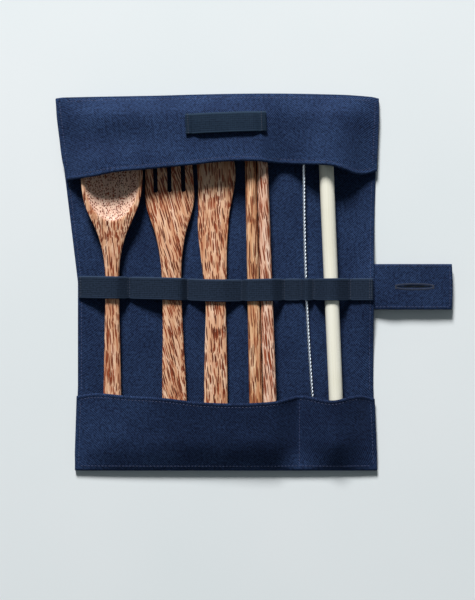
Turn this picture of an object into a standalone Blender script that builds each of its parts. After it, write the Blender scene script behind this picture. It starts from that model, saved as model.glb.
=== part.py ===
# A cloth cutlery wrap that lies open, with what it carries: a palm-wood spoon, fork and knife,
# a pair of chopsticks, a drinking straw and the twisted-wire brush that cleans it.
# Metres. +Z up, +Y towards the folded flap, +X towards the closing tab. The table is z = 0.
import math

import bmesh
import bpy
import numpy as np

# Gaps
TOUCH_GAP = 0.0003  # between pieces that touch
DRAPE_GAP = 0.0007  # cloth or elastic over wood, where the facets cut corners

# The cloth, one long piece: pocket, back and flap, folded over at both ends
CLOTH_THICK = 0.0012
HEM_EXTRA = 0.0004  # the rolled hem at the pocket's mouth and the flap's edge
HEM_WIDTH = 0.0032
WRAP_TOP = 0.1203  # outside of the upper fold
WRAP_BOTTOM = -0.1203  # outside of the lower fold
WAIST_LEFT = -0.1127  # side edges where the elastic gathers the cloth
WAIST_RIGHT = 0.0762
WAIST_TOP = 0.010  # the sides flare above this height
WAIST_BOTTOM = -0.066  # and below this one
TOP_FLARE_LEFT = 0.01465
TOP_FLARE_CURVE = 1.1  # how late both sides flare; 1 is a straight line
TOP_FLARE_RIGHT = 0.0037
BOTTOM_FLARE_LEFT = 0.0018
BOTTOM_FLARE_RIGHT = 0.0024
TOP_BOW = 0.0019  # the upper fold's ends lie this much lower than its middle
CORNER_ROUND = 0.0016
FLAP_OVERHANG = 0.0012  # the flap is a little wider than the back
POCKET_OVERHANG = 0.0004
TOP_FOLD_RADIUS = 0.0013
BOTTOM_FOLD_RADIUS = 0.0013  # of the lower fold inside the pocket
SEAM_FOLD_RADIUS = 0.00085  # of both folds at the side seams
EDGE_LIFT = 0.0055  # the elastic's pull raises the right edge beside the tab
EDGE_LIFT_WIDTH = 0.016
EDGE_LIFT_LENGTH = 0.030
FLAP_SPRING = 0.0026  # the flap's free edge stands up in its middle
FLAP_SPRING_X = -0.006
FLAP_SPRING_REACH = 0.062
FLAP_SPRING_Y = 0.102  # it starts here
FLAP_SPRING_RUN = 0.028
FLAP_SEAT = 0.0006  # the flap's side edges lie this much higher than a layer of cloth
FLAP_CLIMB = [(0.0, 0.0), (0.006, 0.32), (0.012, 0.60), (0.020, 0.86), (0.030, 1.0)]  # by distance from the fold
POCKET_RISE = [(0.0, 0.0), (0.005, 0.42), (0.010, 0.82), (0.0145, 1.0), (0.021, 1.02), (0.030, 1.0)]
POCKET_DIVIDER_X = 0.0288  # the stitched line between two pockets

# The free edges, seen from above, as (x, y)
FLAP_EDGE = [(-0.120, 0.0653), (-0.092, 0.0700), (-0.041, 0.0750), (-0.012, 0.0775), (0.008, 0.0770),
             (0.036, 0.0751), (0.050, 0.0742), (0.062, 0.0704), (0.068, 0.0691), (0.077, 0.0710)]
POCKET_EDGE = [(-0.113, -0.0730), (-0.105, -0.0718), (-0.079, -0.0731), (-0.057, -0.0747), (-0.035, -0.0776),
               (-0.003, -0.0787), (0.013, -0.0776), (0.029, -0.0737), (0.0486, -0.0763), (0.067, -0.0725),
               (0.0775, -0.0750)]

# The elastic band
ELASTIC_WIDTH = 0.0142
ELASTIC_THICK = 0.0010
ELASTIC_Y = -0.0040
ELASTIC_INSET = 0.0006  # from the cloth's side edges
ELASTIC_STEP = 0.006  # between its rows of points, and by the raised edge
ELASTIC_EDGE_STEP = 0.002
ELASTIC_STITCHES = [-0.0800, -0.0429, -0.0064, 0.0186, 0.0307, 0.0381, 0.0608]

# The carry loop, a strip of webbing sewn to the flap at both ends
LOOP_LENGTH = 0.0512
LOOP_WIDTH = 0.0130
LOOP_THICK = 0.0011
LOOP_X = -0.0179
LOOP_Y = 0.1006
LOOP_TURN = 0.043
LOOP_SEWN = 0.0042  # the length of each sewn end
LOOP_RISE = 0.0024  # how far its middle stands off the flap
LOOP_SEAT_GAP = 0.00015  # more room, where the flap's facets slope

# The closing tab, with a buttonhole
TAB_LENGTH = 0.0508
TAB_WIDTH = 0.0291
TAB_THICK = 0.0019
TAB_Y = -0.0029
TAB_TUCK = 0.0040  # sewn under the cloth's edge
TAB_SEAT_GAP = 0.0002  # more room there, where the cloth's facets slope
TAB_DROOP = 0.0013  # its free end lies this much lower
BUTTONHOLE_LENGTH = 0.0215
BUTTONHOLE_WIDTH = 0.0007
BUTTONHOLE_X = 0.0260  # its middle, from the cloth's edge

# The carved pieces' sections are rounded rectangles: 2 is an ellipse, more is squarer
CARVED_SQUARENESS = 3.0

# The wooden spoon, with half-widths and heights by distance from its tip
SPOON_X = -0.0910
SPOON_TIP_Y = 0.0940
SPOON_LENGTH = 0.1980
SPOON_TIP_ROUND = 0.0270
SPOON_END_ROUND = 0.0070
SPOON_HALF_WIDTH = [(0.027, 0.0196), (0.038, 0.0186), (0.046, 0.0163), (0.0535, 0.0131), (0.061, 0.0099),
                    (0.069, 0.0073), (0.077, 0.0054), (0.088, 0.0042), (0.110, 0.0042), (0.136, 0.0051),
                    (0.162, 0.0058), (0.192, 0.0062)]
SPOON_LOW = [(0.0, 0.0050), (0.006, 0.0026), (0.014, 0.0009), (0.027, 0.0), (0.040, 0.0), (0.055, 0.0009),
             (0.070, 0.0018), (0.088, 0.0018), (0.120, 0.0009), (0.160, 0.0002), (0.190, 0.0)]
SPOON_TOP = [(0.0, 0.0078), (0.014, 0.0088), (0.027, 0.0090), (0.050, 0.0088), (0.070, 0.0076),
             (0.088, 0.0069), (0.120, 0.0058), (0.160, 0.0050), (0.190, 0.0046)]
SPOON_RIM = [(0.050, 0.86), (0.085, 0.50)]  # share of the way from low to top of its widest line
BOWL_MIDDLE = 0.0290
BOWL_HALF_LENGTH = 0.0265
BOWL_LIP = 0.0021
BOWL_DEPTH = 0.0056

# The wooden fork
FORK_X = -0.0529
FORK_TURN = 0.0237
FORK_TIP_Y = 0.0950
FORK_LENGTH = 0.1990
FORK_TIP_ROUND = 0.0060
FORK_END_ROUND = 0.0080
FORK_HALF_WIDTH = [(0.0, 0.0138), (0.015, 0.0147), (0.033, 0.0155), (0.040, 0.0157), (0.047, 0.0144),
                   (0.0545, 0.01215), (0.062, 0.0099), (0.070, 0.0083), (0.078, 0.0070), (0.089, 0.0061),
                   (0.111, 0.0058), (0.132, 0.0066), (0.152, 0.0071), (0.168, 0.0077), (0.190, 0.0079)]
FORK_LOW = [(0.0, 0.0030), (0.018, 0.0010), (0.036, 0.0), (0.060, 0.0008), (0.080, 0.0015), (0.120, 0.0008),
            (0.160, 0.0002), (0.190, 0.0)]
FORK_TOP = [(0.0, 0.0058), (0.018, 0.0046), (0.040, 0.0044), (0.060, 0.0056), (0.080, 0.0064), (0.120, 0.0058),
            (0.160, 0.0050), (0.190, 0.0046)]
FORK_TINES = 4
SLOT_WIDTH = 0.0028
SLOT_SPACING = 0.0088
SLOT_DEPTH = 0.0378
SLOT_CUTTER_HEIGHT = 0.030

# The wooden knife: its blade swells to one side
KNIFE_X = -0.0246
KNIFE_TIP_Y = 0.0960
KNIFE_LENGTH = 0.2000
KNIFE_TIP_ROUND = 0.0260
KNIFE_END_ROUND = 0.0080
KNIFE_HALF_WIDTH = [(0.020, 0.0124), (0.030, 0.0120), (0.044, 0.0108), (0.052, 0.0100), (0.060, 0.0096),
                    (0.075, 0.0083), (0.090, 0.0073), (0.112, 0.0061), (0.133, 0.0067), (0.164, 0.0074),
                    (0.190, 0.0076)]
KNIFE_SWAY = [(0.0, -0.0040), (0.014, -0.0010), (0.030, 0.0005), (0.044, -0.0006), (0.058, -0.0017),
              (0.075, -0.0016), (0.090, -0.0007), (0.112, 0.0)]
KNIFE_LOW = [(0.0, 0.0010), (0.020, 0.0004), (0.060, 0.0002), (0.110, 0.0), (0.190, 0.0)]
KNIFE_TOP = [(0.0, 0.0026), (0.020, 0.0032), (0.060, 0.0038), (0.110, 0.0050), (0.190, 0.0046)]

# The chopsticks: round at the tip, square with round corners at the butt
CHOPSTICK_LENGTH = 0.2090
CHOPSTICK_TIP_Y = 0.1075
CHOPSTICK_TIP_HALF = 0.00270
CHOPSTICK_BUTT_HALF = 0.00450
CHOPSTICK_PAIR_X = 0.0050  # the line between the two, which lie side by side
CHOPSTICK_PAIR_TURN = 0.0232
CHOPSTICK_PAIR_ROOM = 0.00005  # added to half the gap between the two
CHOPSTICK_SQUARE_FROM = 0.16  # from the tip, where the section is fully square
CHOPSTICK_ROWS = (0.0, 0.0006, 0.002, 0.03, 0.07, 0.11, 0.15, 0.19)  # by distance from the tip
CHOPSTICK_BUTT_ROWS = (0.0025, 0.0008, 0.0)  # by distance from the butt
CHOPSTICK_TIP_SHARES = (0.60, 0.86)  # of the width, at the first rows
CHOPSTICK_BUTT_SHARES = (0.93, 0.76)  # and at the last
BUTT_SQUARENESS = 4.2

# The straw, a tapering natural tube
STRAW_X = 0.0496
STRAW_TURN = 0.0361
STRAW_TIP_Y = 0.0940
STRAW_LENGTH = 0.1950
STRAW_TIP_RADIUS = 0.0049
STRAW_END_RADIUS = 0.0043
STRAW_WALL = 0.0010
STRAW_CHAMFER = 0.0003

# The straw brush: two twisted strands, with bristles at the upper end
WIRE_X = 0.0330
WIRE_BEND = (-0.0377, 0.27)  # slope and curvature of its line, seen from above
WIRE_TIP_Y = 0.1055
WIRE_END_Y = -0.1010
WIRE_STRAND_RADIUS = 0.00046
WIRE_LAY = 0.0070  # along the wire, for one whole turn
BRISTLE_RADIUS = 0.0032
BRISTLE_LENGTH = 0.0265
BRISTLE_TEETH = 7
BRISTLE_TOOTH = 0.0006
BRISTLE_INSET = 0.0008  # from the wire's end

# Mesh density
CLOTH_COLUMNS = 49
RING_POINTS = 20
POCKET_ROWS = (0.75, 0.52, 0.42, 0.32, 0.21, 0.10, 0.0)  # shares of the way from the fold to the hem
BACK_ROWS = (0.0, 0.16, 0.31, 0.40, 0.46, 0.51, 0.57, 0.68, 0.84, 1.0)
FLAP_ROWS = (0.0, 0.09, 0.20, 0.31, 0.43, 0.60, 0.78)


def smooth(t):
    # 0 to 1 with level ends
    t = np.clip(t, 0.0, 1.0)
    return t * t * (3.0 - 2.0 * t)


def through(points, x):
    # A smooth curve through a few (place, value) points, level past both ends
    px, py = np.array(points, dtype=float).T
    slope = np.gradient(py, px)
    x = np.clip(x, px[0], px[-1])
    k = np.clip(np.searchsorted(px, x) - 1, 0, len(px) - 2)
    step = px[k + 1] - px[k]
    t = (x - px[k]) / step
    return ((1 + 2 * t) * (1 - t) ** 2 * py[k] + t * (1 - t) ** 2 * step * slope[k]
            + t * t * (3 - 2 * t) * py[k + 1] + t * t * (t - 1) * step * slope[k + 1])


def pulled_tight(points):
    # The line that a band takes when it is pulled tight over (x, z) points: their upper hull
    hull = []
    for x, z in sorted(points):
        while len(hull) > 1:
            (ax, az), (bx, bz) = hull[-2:]
            if (bx - ax) * (z - az) - (bz - az) * (x - ax) < 0:
                break
            hull.pop()
        hull.append((x, z))
    return hull


def material(name, color, roughness, metallic=0.0):
    mat = bpy.data.materials.new(name)
    mat.use_nodes = True
    shader = mat.node_tree.nodes["Principled BSDF"]
    shader.inputs["Base Color"].default_value = (*color, 1.0)
    shader.inputs["Roughness"].default_value = roughness
    shader.inputs["Metallic"].default_value = metallic
    mat.diffuse_color = (*color, 1.0)
    return mat


def add_object(name, verts, faces, mat):
    mesh = bpy.data.meshes.new(name)
    mesh.from_pydata([tuple(float(c) for c in v) for v in verts], [], faces)
    mesh.polygons.foreach_set("use_smooth", [True] * len(mesh.polygons))
    mesh.set_sharp_from_angle(angle=math.radians(50))
    mesh.materials.append(mat)
    obj = bpy.data.objects.new(name, mesh)
    bpy.context.scene.collection.objects.link(obj)
    return obj


def sheet_solid(name, middle, half_thick, mat):
    # A closed solid from a grid of points on a sheet's middle surface and its half thickness there
    along = np.gradient(middle, axis=0)
    across = np.gradient(middle, axis=1)
    normal = np.cross(across, along)
    normal /= np.linalg.norm(normal, axis=2, keepdims=True)
    rows, cols = middle.shape[:2]
    half = np.broadcast_to(half_thick, (rows, cols))[..., None]
    verts = np.concatenate([(middle + normal * half).reshape(-1, 3), (middle - normal * half).reshape(-1, 3)])
    index = np.arange(rows * cols).reshape(rows, cols)
    under = index + rows * cols
    faces = []
    for r in range(rows - 1):
        for c in range(cols - 1):
            a, b, d, e = index[r, c], index[r, c + 1], index[r + 1, c + 1], index[r + 1, c]
            faces.append((a, b, d, e))
            faces.append(tuple(under.flat[i] for i in (e, d, b, a)))
    rim = [*index[0, :-1], *index[:-1, -1], *index[-1, :0:-1], *index[:0:-1, 0]]
    for a, b in zip(rim, rim[1:] + rim[:1]):
        faces.append((b, a, under.flat[a], under.flat[b]))
    return add_object(name, verts, faces, mat)


def loft(name, rings, mat, tube=False):
    # Skin over rings of points. It closes on the middle of each end ring, or on itself as a tube.
    count, size = rings.shape[:2]
    verts = list(rings.reshape(-1, 3))
    faces = []
    for r in range(count if tube else count - 1):
        for c in range(size):
            d = (c + 1) % size
            n = (r + 1) % count
            faces.append((r * size + c, r * size + d, n * size + d, n * size + c))
    if not tube:
        for r, flip in ((0, True), (count - 1, False)):
            verts.append(rings[r].mean(axis=0))
            for c in range(size):
                pair = (r * size + c, r * size + (c + 1) % size)
                faces.append((*(pair[::-1] if flip else pair), len(verts) - 1))
    return add_object(name, verts, faces, mat)


def place(obj, x, turn=0.0):
    # Cutlery lies on the back of the wrap, turned a little about the vertical
    obj.location = (x, 0.0, BED)
    obj.rotation_euler = (0.0, 0.0, turn)


BED = CLOTH_THICK + TOUCH_GAP  # what lies in the wrap rests at this height
LAYER = CLOTH_THICK + TOUCH_GAP + CLOTH_THICK / 2  # middle of a second layer of cloth


def stations(length, tip_round, end_round, count):
    # Distances from the tip, closer together where the ends are round
    tip = tip_round * (1.0 - np.cos(np.linspace(0.12, math.pi / 2, 6)))
    end = length - end_round * (1.0 - np.cos(np.linspace(math.pi / 2, 0.2, 5)))
    return np.concatenate([tip, np.linspace(tip_round, length - end_round, count)[1:-1], end])


def half_width(s, length, tip_round, end_round, points):
    # Half of the outline's width: the body's width, drawn in to an elliptical tip and end
    body = through(points, s)
    tip = np.clip((tip_round - s) / tip_round, 0.0, 1.0)
    end = np.clip((s - length + end_round) / end_round, 0.0, 1.0)
    return body * np.sqrt(1.0 - tip ** 2) * np.sqrt(1.0 - end ** 2)


def carved_rings(s, tip_y, profile, sway=0.0, size=RING_POINTS):
    # Cross-sections of a carved piece: rounded above and below its widest line
    half, low, rim, top = (v[:, None] for v in profile(s))
    angle = np.linspace(0.0, 2 * math.pi, size, endpoint=False)
    power = 2.0 / CARVED_SQUARENESS
    c, d = np.cos(angle), np.sin(angle)
    x = half * np.sign(c) * np.abs(c) ** power + np.broadcast_to(sway, s.shape)[:, None]
    z = rim + np.where(d >= 0, top - rim, rim - low) * np.sign(d) * np.abs(d) ** power
    y = np.broadcast_to((tip_y - s)[:, None], x.shape)
    return np.stack([x, y, z], axis=2)


def spoon_profile(s):
    # Half width, and the heights of the underside, of the widest line and of the top
    half = half_width(s, SPOON_LENGTH, SPOON_TIP_ROUND, SPOON_END_ROUND, SPOON_HALF_WIDTH)
    low, top = np.maximum(through(SPOON_LOW, s), 0.0), through(SPOON_TOP, s)
    return half, low, low + (top - low) * through(SPOON_RIM, s), top


def fork_profile(s):
    half = half_width(s, FORK_LENGTH, FORK_TIP_ROUND, FORK_END_ROUND, FORK_HALF_WIDTH)
    low, top = np.maximum(through(FORK_LOW, s), 0.0), through(FORK_TOP, s)
    return half, low, (low + top) / 2, top


def knife_profile(s):
    half = half_width(s, KNIFE_LENGTH, KNIFE_TIP_ROUND, KNIFE_END_ROUND, KNIFE_HALF_WIDTH)
    low, top = np.maximum(through(KNIFE_LOW, s), 0.0), through(KNIFE_TOP, s)
    return half, low, (low + top) / 2, top


def chopstick_profile(s):
    half = CHOPSTICK_TIP_HALF + (CHOPSTICK_BUTT_HALF - CHOPSTICK_TIP_HALF) * s / CHOPSTICK_LENGTH
    return half, 0.0 * half, half, 2.0 * half


def chopstick_places():
    # The x and turn of both: their inner sides lie along the line between them
    taper = (CHOPSTICK_BUTT_HALF - CHOPSTICK_TIP_HALF) / CHOPSTICK_LENGTH
    reach = CHOPSTICK_TIP_HALF + taper * CHOPSTICK_TIP_Y + TOUCH_GAP / 2 + CHOPSTICK_PAIR_ROOM
    return {"chopstick_left": (CHOPSTICK_PAIR_X - reach, CHOPSTICK_PAIR_TURN - taper),
            "chopstick_right": (CHOPSTICK_PAIR_X + reach, CHOPSTICK_PAIR_TURN + taper)}


def straw_radius(s):
    return STRAW_TIP_RADIUS + (STRAW_END_RADIUS - STRAW_TIP_RADIUS) * s / STRAW_LENGTH


def straw_profile(s):
    radius = straw_radius(s)
    return radius, 0.0 * radius, radius, 2.0 * radius


def brush_profile(s):
    # The bristles and the wire, as what lies over them meets them
    half = np.where(s < BRISTLE_LENGTH, BRISTLE_RADIUS, wire_radius())
    middle = wire_height(WIRE_TIP_Y - s)
    return half, middle - half, middle, middle + half


def wire_radius():
    return 2.0 * WIRE_STRAND_RADIUS


def wire_x(y):
    slope, curve = WIRE_BEND
    return WIRE_X + slope * y + curve * y * y


def wire_height(y):
    # The brush lies on its bristles at one end and on the wire at the other
    share = (y - WIRE_END_Y) / (WIRE_TIP_Y - BRISTLE_LENGTH - WIRE_END_Y)
    return wire_radius() + (BRISTLE_RADIUS - wire_radius()) * share


def wire_point(y):
    return np.stack([wire_x(y), y, BED + wire_height(y)], axis=-1)


def contents():
    # What lies in the wrap: x and turn, y of the tip, length, profile and squareness of section
    rows = [
        (SPOON_X, 0.0, SPOON_TIP_Y, SPOON_LENGTH, spoon_profile, CARVED_SQUARENESS),
        (FORK_X, FORK_TURN, FORK_TIP_Y, FORK_LENGTH, fork_profile, CARVED_SQUARENESS),
        (KNIFE_X, 0.0, KNIFE_TIP_Y, KNIFE_LENGTH, knife_profile, CARVED_SQUARENESS),
        (STRAW_X, STRAW_TURN, STRAW_TIP_Y, STRAW_LENGTH, straw_profile, 2.0),
        (None, 0.0, WIRE_TIP_Y, WIRE_TIP_Y - WIRE_END_Y, brush_profile, 2.0),
    ]
    for x, turn in chopstick_places().values():
        rows.append((x, turn, CHOPSTICK_TIP_Y, CHOPSTICK_LENGTH, chopstick_profile, BUTT_SQUARENESS))
    return rows


def section_points(y, gap, offset):
    # Points on the upper outline of each piece that crosses this y, grown outwards by gap
    points = []
    for x, turn, tip_y, length, profile, squareness in contents():
        s = np.array([tip_y - y])
        if s[0] < 0 or s[0] > length:
            continue
        half, _, rim, top = (v[0] for v in profile(s))
        middle = wire_x(y) if x is None else x - y * math.sin(turn)
        if profile is knife_profile:
            middle += through(KNIFE_SWAY, s)[0]
        arc = np.linspace(0.15, math.pi - 0.15, 7)
        power = 2.0 / squareness
        px = middle + (half + gap) * np.sign(np.cos(arc)) * np.abs(np.cos(arc)) ** power
        pz = BED + rim + (top - rim + gap) * np.sin(arc) ** power + offset
        points += zip(px, pz)
    return points


def side_edges(y, overhang=0.0):
    # The x of the left and right side edges at each y
    up = np.clip((y - WAIST_TOP) / (WRAP_TOP - WAIST_TOP), 0.0, 1.0) ** TOP_FLARE_CURVE
    down = np.clip((WAIST_BOTTOM - y) / (WAIST_BOTTOM - WRAP_BOTTOM), 0.0, 1.0)
    left = WAIST_LEFT - TOP_FLARE_LEFT * up - BOTTOM_FLARE_LEFT * down - overhang
    right = WAIST_RIGHT + TOP_FLARE_RIGHT * up + BOTTOM_FLARE_RIGHT * down + overhang
    return left, right


def edge_lift(x, y):
    # The right edge rises beside the tab, where the elastic pulls it
    _, right = side_edges(y)
    return (EDGE_LIFT * smooth((x - right + EDGE_LIFT_WIDTH) / EDGE_LIFT_WIDTH)
            * np.exp(-((y - ELASTIC_Y) / EDGE_LIFT_LENGTH) ** 2))


def outline_over(ys):
    # Points that the cloth has to clear, of everything that crosses any of these y
    return [p for y in ys for p in section_points(y, DRAPE_GAP, CLOTH_THICK / 2)]


def tight_between(points, anchors, x):
    # Pulled tight over the points in each stretch between two neighbouring anchors
    z = np.zeros_like(x)
    for left, right in zip(anchors, anchors[1:]):
        inside = [p for p in points if left[0] < p[0] < right[0]]
        line = np.array(pulled_tight([left, *inside, right])).T
        here = (x >= left[0]) & (x <= right[0])
        z[here] = np.interp(x[here], line[0], line[1])
    return z


def fold_radius(u, middle):
    return SEAM_FOLD_RADIUS + (middle - SEAM_FOLD_RADIUS) * (1.0 - (2.0 * u - 1.0) ** 4)


def flap_height(x, y):
    # Middle surface of the flap: it climbs from the upper fold, lies over the heads of the
    # cutlery and lifts towards its free edge
    left, right = side_edges(np.full_like(x, 0.09), FLAP_OVERHANG)
    seam = [(left.min(), LAYER + FLAP_SEAT), (right.max(), LAYER + FLAP_SEAT)]
    points = outline_over([0.068, 0.074, 0.080, 0.086, 0.092])
    over = tight_between(points, seam, np.clip(x, seam[0][0], seam[1][0]))
    u = (x - seam[0][0]) / (seam[1][0] - seam[0][0])
    fold = CLOTH_THICK / 2 + 2.0 * fold_radius(u, TOP_FOLD_RADIUS)
    climb = through(FLAP_CLIMB, WRAP_TOP - TOP_FOLD_RADIUS - y)
    spring = (FLAP_SPRING * smooth((FLAP_SPRING_Y - y) / FLAP_SPRING_RUN)
              * smooth(1.0 - np.abs((x - FLAP_SPRING_X) / FLAP_SPRING_REACH) ** 2))
    return fold + (np.maximum(over, fold) - fold) * climb + spring


def pocket_height(x, y):
    # Middle surface of the pocket's front: from the lower fold up over the handles to the mouth
    left, right = side_edges(np.full_like(x, -0.09), POCKET_OVERHANG)
    ends = [(left.min(), LAYER), (right.max(), LAYER)]
    anchors = [ends[0], (POCKET_DIVIDER_X, LAYER), ends[1]]
    points = outline_over([-0.070, -0.076, -0.082, -0.088])
    over = tight_between(points, anchors, np.clip(x, ends[0][0], ends[1][0]))
    u = (x - ends[0][0]) / (ends[1][0] - ends[0][0])
    fold = CLOTH_THICK / 2 + 2.0 * fold_radius(u, BOTTOM_FOLD_RADIUS)
    rise = through(POCKET_RISE, y - WRAP_BOTTOM - BOTTOM_FOLD_RADIUS)
    return fold + (over - fold) * rise


def wrap_cloth(mat):
    u = np.linspace(0.0, 1.0, CLOTH_COLUMNS)
    rows = []
    half = []

    def add_row(y, z, overhang, thick=CLOTH_THICK):
        left, right = side_edges(y, overhang)
        x = left + (right - left) * u
        rows.append(np.stack([x, y, z(x, y) if callable(z) else z], axis=1))
        half.append(np.full(len(u), thick / 2))

    def nominal_x(y):
        left, right = side_edges(np.full(len(u), y))
        return left + (right - left) * u

    bottom_radius = fold_radius(u, BOTTOM_FOLD_RADIUS)
    top_radius = fold_radius(u, TOP_FOLD_RADIUS)
    bottom_y = WRAP_BOTTOM + bottom_radius + CLOTH_THICK / 2
    x_top = nominal_x(WRAP_TOP)
    bow = TOP_BOW * ((x_top - x_top.mean()) / (0.5 * (x_top[-1] - x_top[0]))) ** 2
    corner = CORNER_ROUND * (1.0 - smooth(np.minimum(u, 1.0 - u) * (x_top[-1] - x_top[0]) / 0.005))
    top_y = WRAP_TOP - top_radius - CLOTH_THICK / 2 - bow - corner

    mouth = through(POCKET_EDGE, nominal_x(-0.075))
    hem = HEM_WIDTH / (mouth.mean() - bottom_y.mean())
    for t in (1.0, 1.0 - hem, *POCKET_ROWS):
        thick = CLOTH_THICK + (HEM_EXTRA if t >= 1.0 - hem else 0.0)
        add_row(bottom_y + (mouth - bottom_y) * t, pocket_height, POCKET_OVERHANG * smooth(t * 4), thick)
    for angle in (45, 0, -45):
        a = math.radians(angle)
        add_row(bottom_y - bottom_radius * math.cos(a),
                CLOTH_THICK / 2 + bottom_radius * (1.0 + math.sin(a)), 0.0)
    for t in BACK_ROWS:
        add_row(bottom_y + (top_y - bottom_y) * t, lambda x, y: CLOTH_THICK / 2 + edge_lift(x, y), 0.0)
    for angle in (-45, 0, 45):
        a = math.radians(angle)
        add_row(top_y + top_radius * math.cos(a), CLOTH_THICK / 2 + top_radius * (1.0 + math.sin(a)), 0.0)
    free = through(FLAP_EDGE, nominal_x(0.072))
    hem = HEM_WIDTH / (top_y.mean() - free.mean())
    for t in (*FLAP_ROWS, 1.0 - hem, 1.0):
        thick = CLOTH_THICK + (HEM_EXTRA if t >= 1.0 - hem else 0.0)
        add_row(top_y + (free - top_y) * t, flap_height, FLAP_OVERHANG * smooth(t * 4), thick)
    return sheet_solid("wrap_cloth", np.array(rows), np.array(half), mat)


def elastic_line():
    # The band's middle line, seen from the flap: sewn to the cloth, pulled tight over each piece
    left, right = side_edges(np.array([ELASTIC_Y]))
    ends = (left[0] + ELASTIC_INSET, right[0] - ELASTIC_INSET)
    base = BED + ELASTIC_THICK / 2
    anchors = [(x, base + edge_lift(np.array([x]), np.array([ELASTIC_Y]))[0])
               for x in (ends[0], *ELASTIC_STITCHES, ends[1])]
    band = np.linspace(-0.5, 0.5, 3) * ELASTIC_WIDTH + ELASTIC_Y
    points = [p for y in band for p in section_points(y, DRAPE_GAP, ELASTIC_THICK / 2)]
    line = []
    for a, b in zip(anchors, anchors[1:]):
        inside = [p for p in points if a[0] < p[0] < b[0]]
        hull = pulled_tight([a, *inside, b])
        for p, q in zip(hull, hull[1:]):
            step = ELASTIC_STEP if a[0] < ends[1] - EDGE_LIFT_WIDTH else ELASTIC_EDGE_STEP
            steps = max(1, round((q[0] - p[0]) / step))
            for k in range(steps):
                line.append((p[0] + (q[0] - p[0]) * k / steps, p[1] + (q[1] - p[1]) * k / steps))
    line.append(anchors[-1])
    x, z = np.array(line).T
    # where the band crosses the raised edge of the cloth it lies on it
    z = np.maximum(z, base + 1.05 * edge_lift(x, np.full_like(x, ELASTIC_Y)))
    return x, z


def elastic_band(mat):
    x, z = elastic_line()
    keep = np.concatenate([[True], np.diff(x) > 0.0004])
    x, z = x[keep], z[keep]
    rows = [np.stack([x, np.full_like(x, ELASTIC_Y + side * ELASTIC_WIDTH / 2), z], axis=1)
            for side in (1.0, 0.0, -1.0)]
    return sheet_solid("elastic_band", np.array(rows)[::-1], ELASTIC_THICK / 2, mat)


def carry_loop(mat):
    along = np.linspace(-0.5, 0.5, 25) * LOOP_LENGTH
    sewn = (LOOP_LENGTH / 2 - np.abs(along)) / LOOP_SEWN
    rise = LOOP_RISE * smooth((sewn - 1.0) / 1.2)
    rows = []
    for side in np.linspace(-0.5, 0.5, 5) * LOOP_WIDTH:
        x = LOOP_X + along * math.cos(LOOP_TURN) - side * math.sin(LOOP_TURN)
        y = LOOP_Y + along * math.sin(LOOP_TURN) + side * math.cos(LOOP_TURN)
        slope = (flap_height(x, y - 0.0005) - flap_height(x, y + 0.0005)) / 0.001
        stand = (CLOTH_THICK + LOOP_THICK) / 2 * np.sqrt(1.0 + slope ** 2) + TOUCH_GAP + LOOP_SEAT_GAP
        rows.append(np.stack([x, y, flap_height(x, y) + stand + rise], axis=1))
    return sheet_solid("carry_loop", np.array(rows), LOOP_THICK / 2, mat)


def closing_tab(mat, cutter_mat):
    start = WAIST_RIGHT - TAB_TUCK
    end = WAIST_RIGHT + TAB_LENGTH
    x = np.concatenate([np.linspace(start, WAIST_RIGHT, 4)[:-1], np.linspace(WAIST_RIGHT, end, 12)])
    rows = []
    for side in np.linspace(-0.5, 0.5, 7):
        y = np.full_like(x, TAB_Y + side * TAB_WIDTH)
        drop = TOUCH_GAP + TAB_SEAT_GAP + TAB_THICK / 2
        under = edge_lift(np.minimum(x, WAIST_RIGHT), y) - drop
        free = EDGE_LIFT - drop - TAB_DROOP * smooth((x - WAIST_RIGHT) / TAB_LENGTH)
        z = under + (free - under) * smooth((x - WAIST_RIGHT) / 0.012)
        rows.append(np.stack([x, y, z], axis=1))
    tab = sheet_solid("closing_tab", np.array(rows), TAB_THICK / 2, mat)
    slit = rounded_bar("buttonhole_cutter", BUTTONHOLE_LENGTH, BUTTONHOLE_WIDTH, 4 * TAB_THICK, cutter_mat)
    slit.location = (WAIST_RIGHT + BUTTONHOLE_X, TAB_Y, EDGE_LIFT - TAB_THICK)
    cut(tab, slit)
    return tab


def rounded_bar(name, length, width, height, mat):
    # A cutter: an upright stadium along X, centred on its origin
    corners = []
    for side in (1.0, -1.0):
        for a in np.linspace(-math.pi / 2, math.pi / 2, 7):
            corners.append((side * (length / 2 - width / 2 + width / 2 * math.cos(a)),
                            side * width / 2 * math.sin(a)))
    mesh = bpy.data.meshes.new(name)
    bm = bmesh.new()
    face = bm.faces.new([bm.verts.new((x, y, -height / 2)) for x, y in corners])
    grown = bmesh.ops.extrude_face_region(bm, geom=[face])
    top = [v for v in grown["geom"] if isinstance(v, bmesh.types.BMVert)]
    bmesh.ops.translate(bm, verts=top, vec=(0.0, 0.0, height))
    bmesh.ops.recalc_face_normals(bm, faces=bm.faces)
    bm.to_mesh(mesh)
    bm.free()
    mesh.materials.append(mat)
    obj = bpy.data.objects.new(name, mesh)
    bpy.context.scene.collection.objects.link(obj)
    obj.hide_render = True
    obj.display_type = "WIRE"
    return obj


def cut(obj, cutter):
    mod = obj.modifiers.new(cutter.name, "BOOLEAN")
    mod.operation = "DIFFERENCE"
    mod.object = cutter


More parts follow.
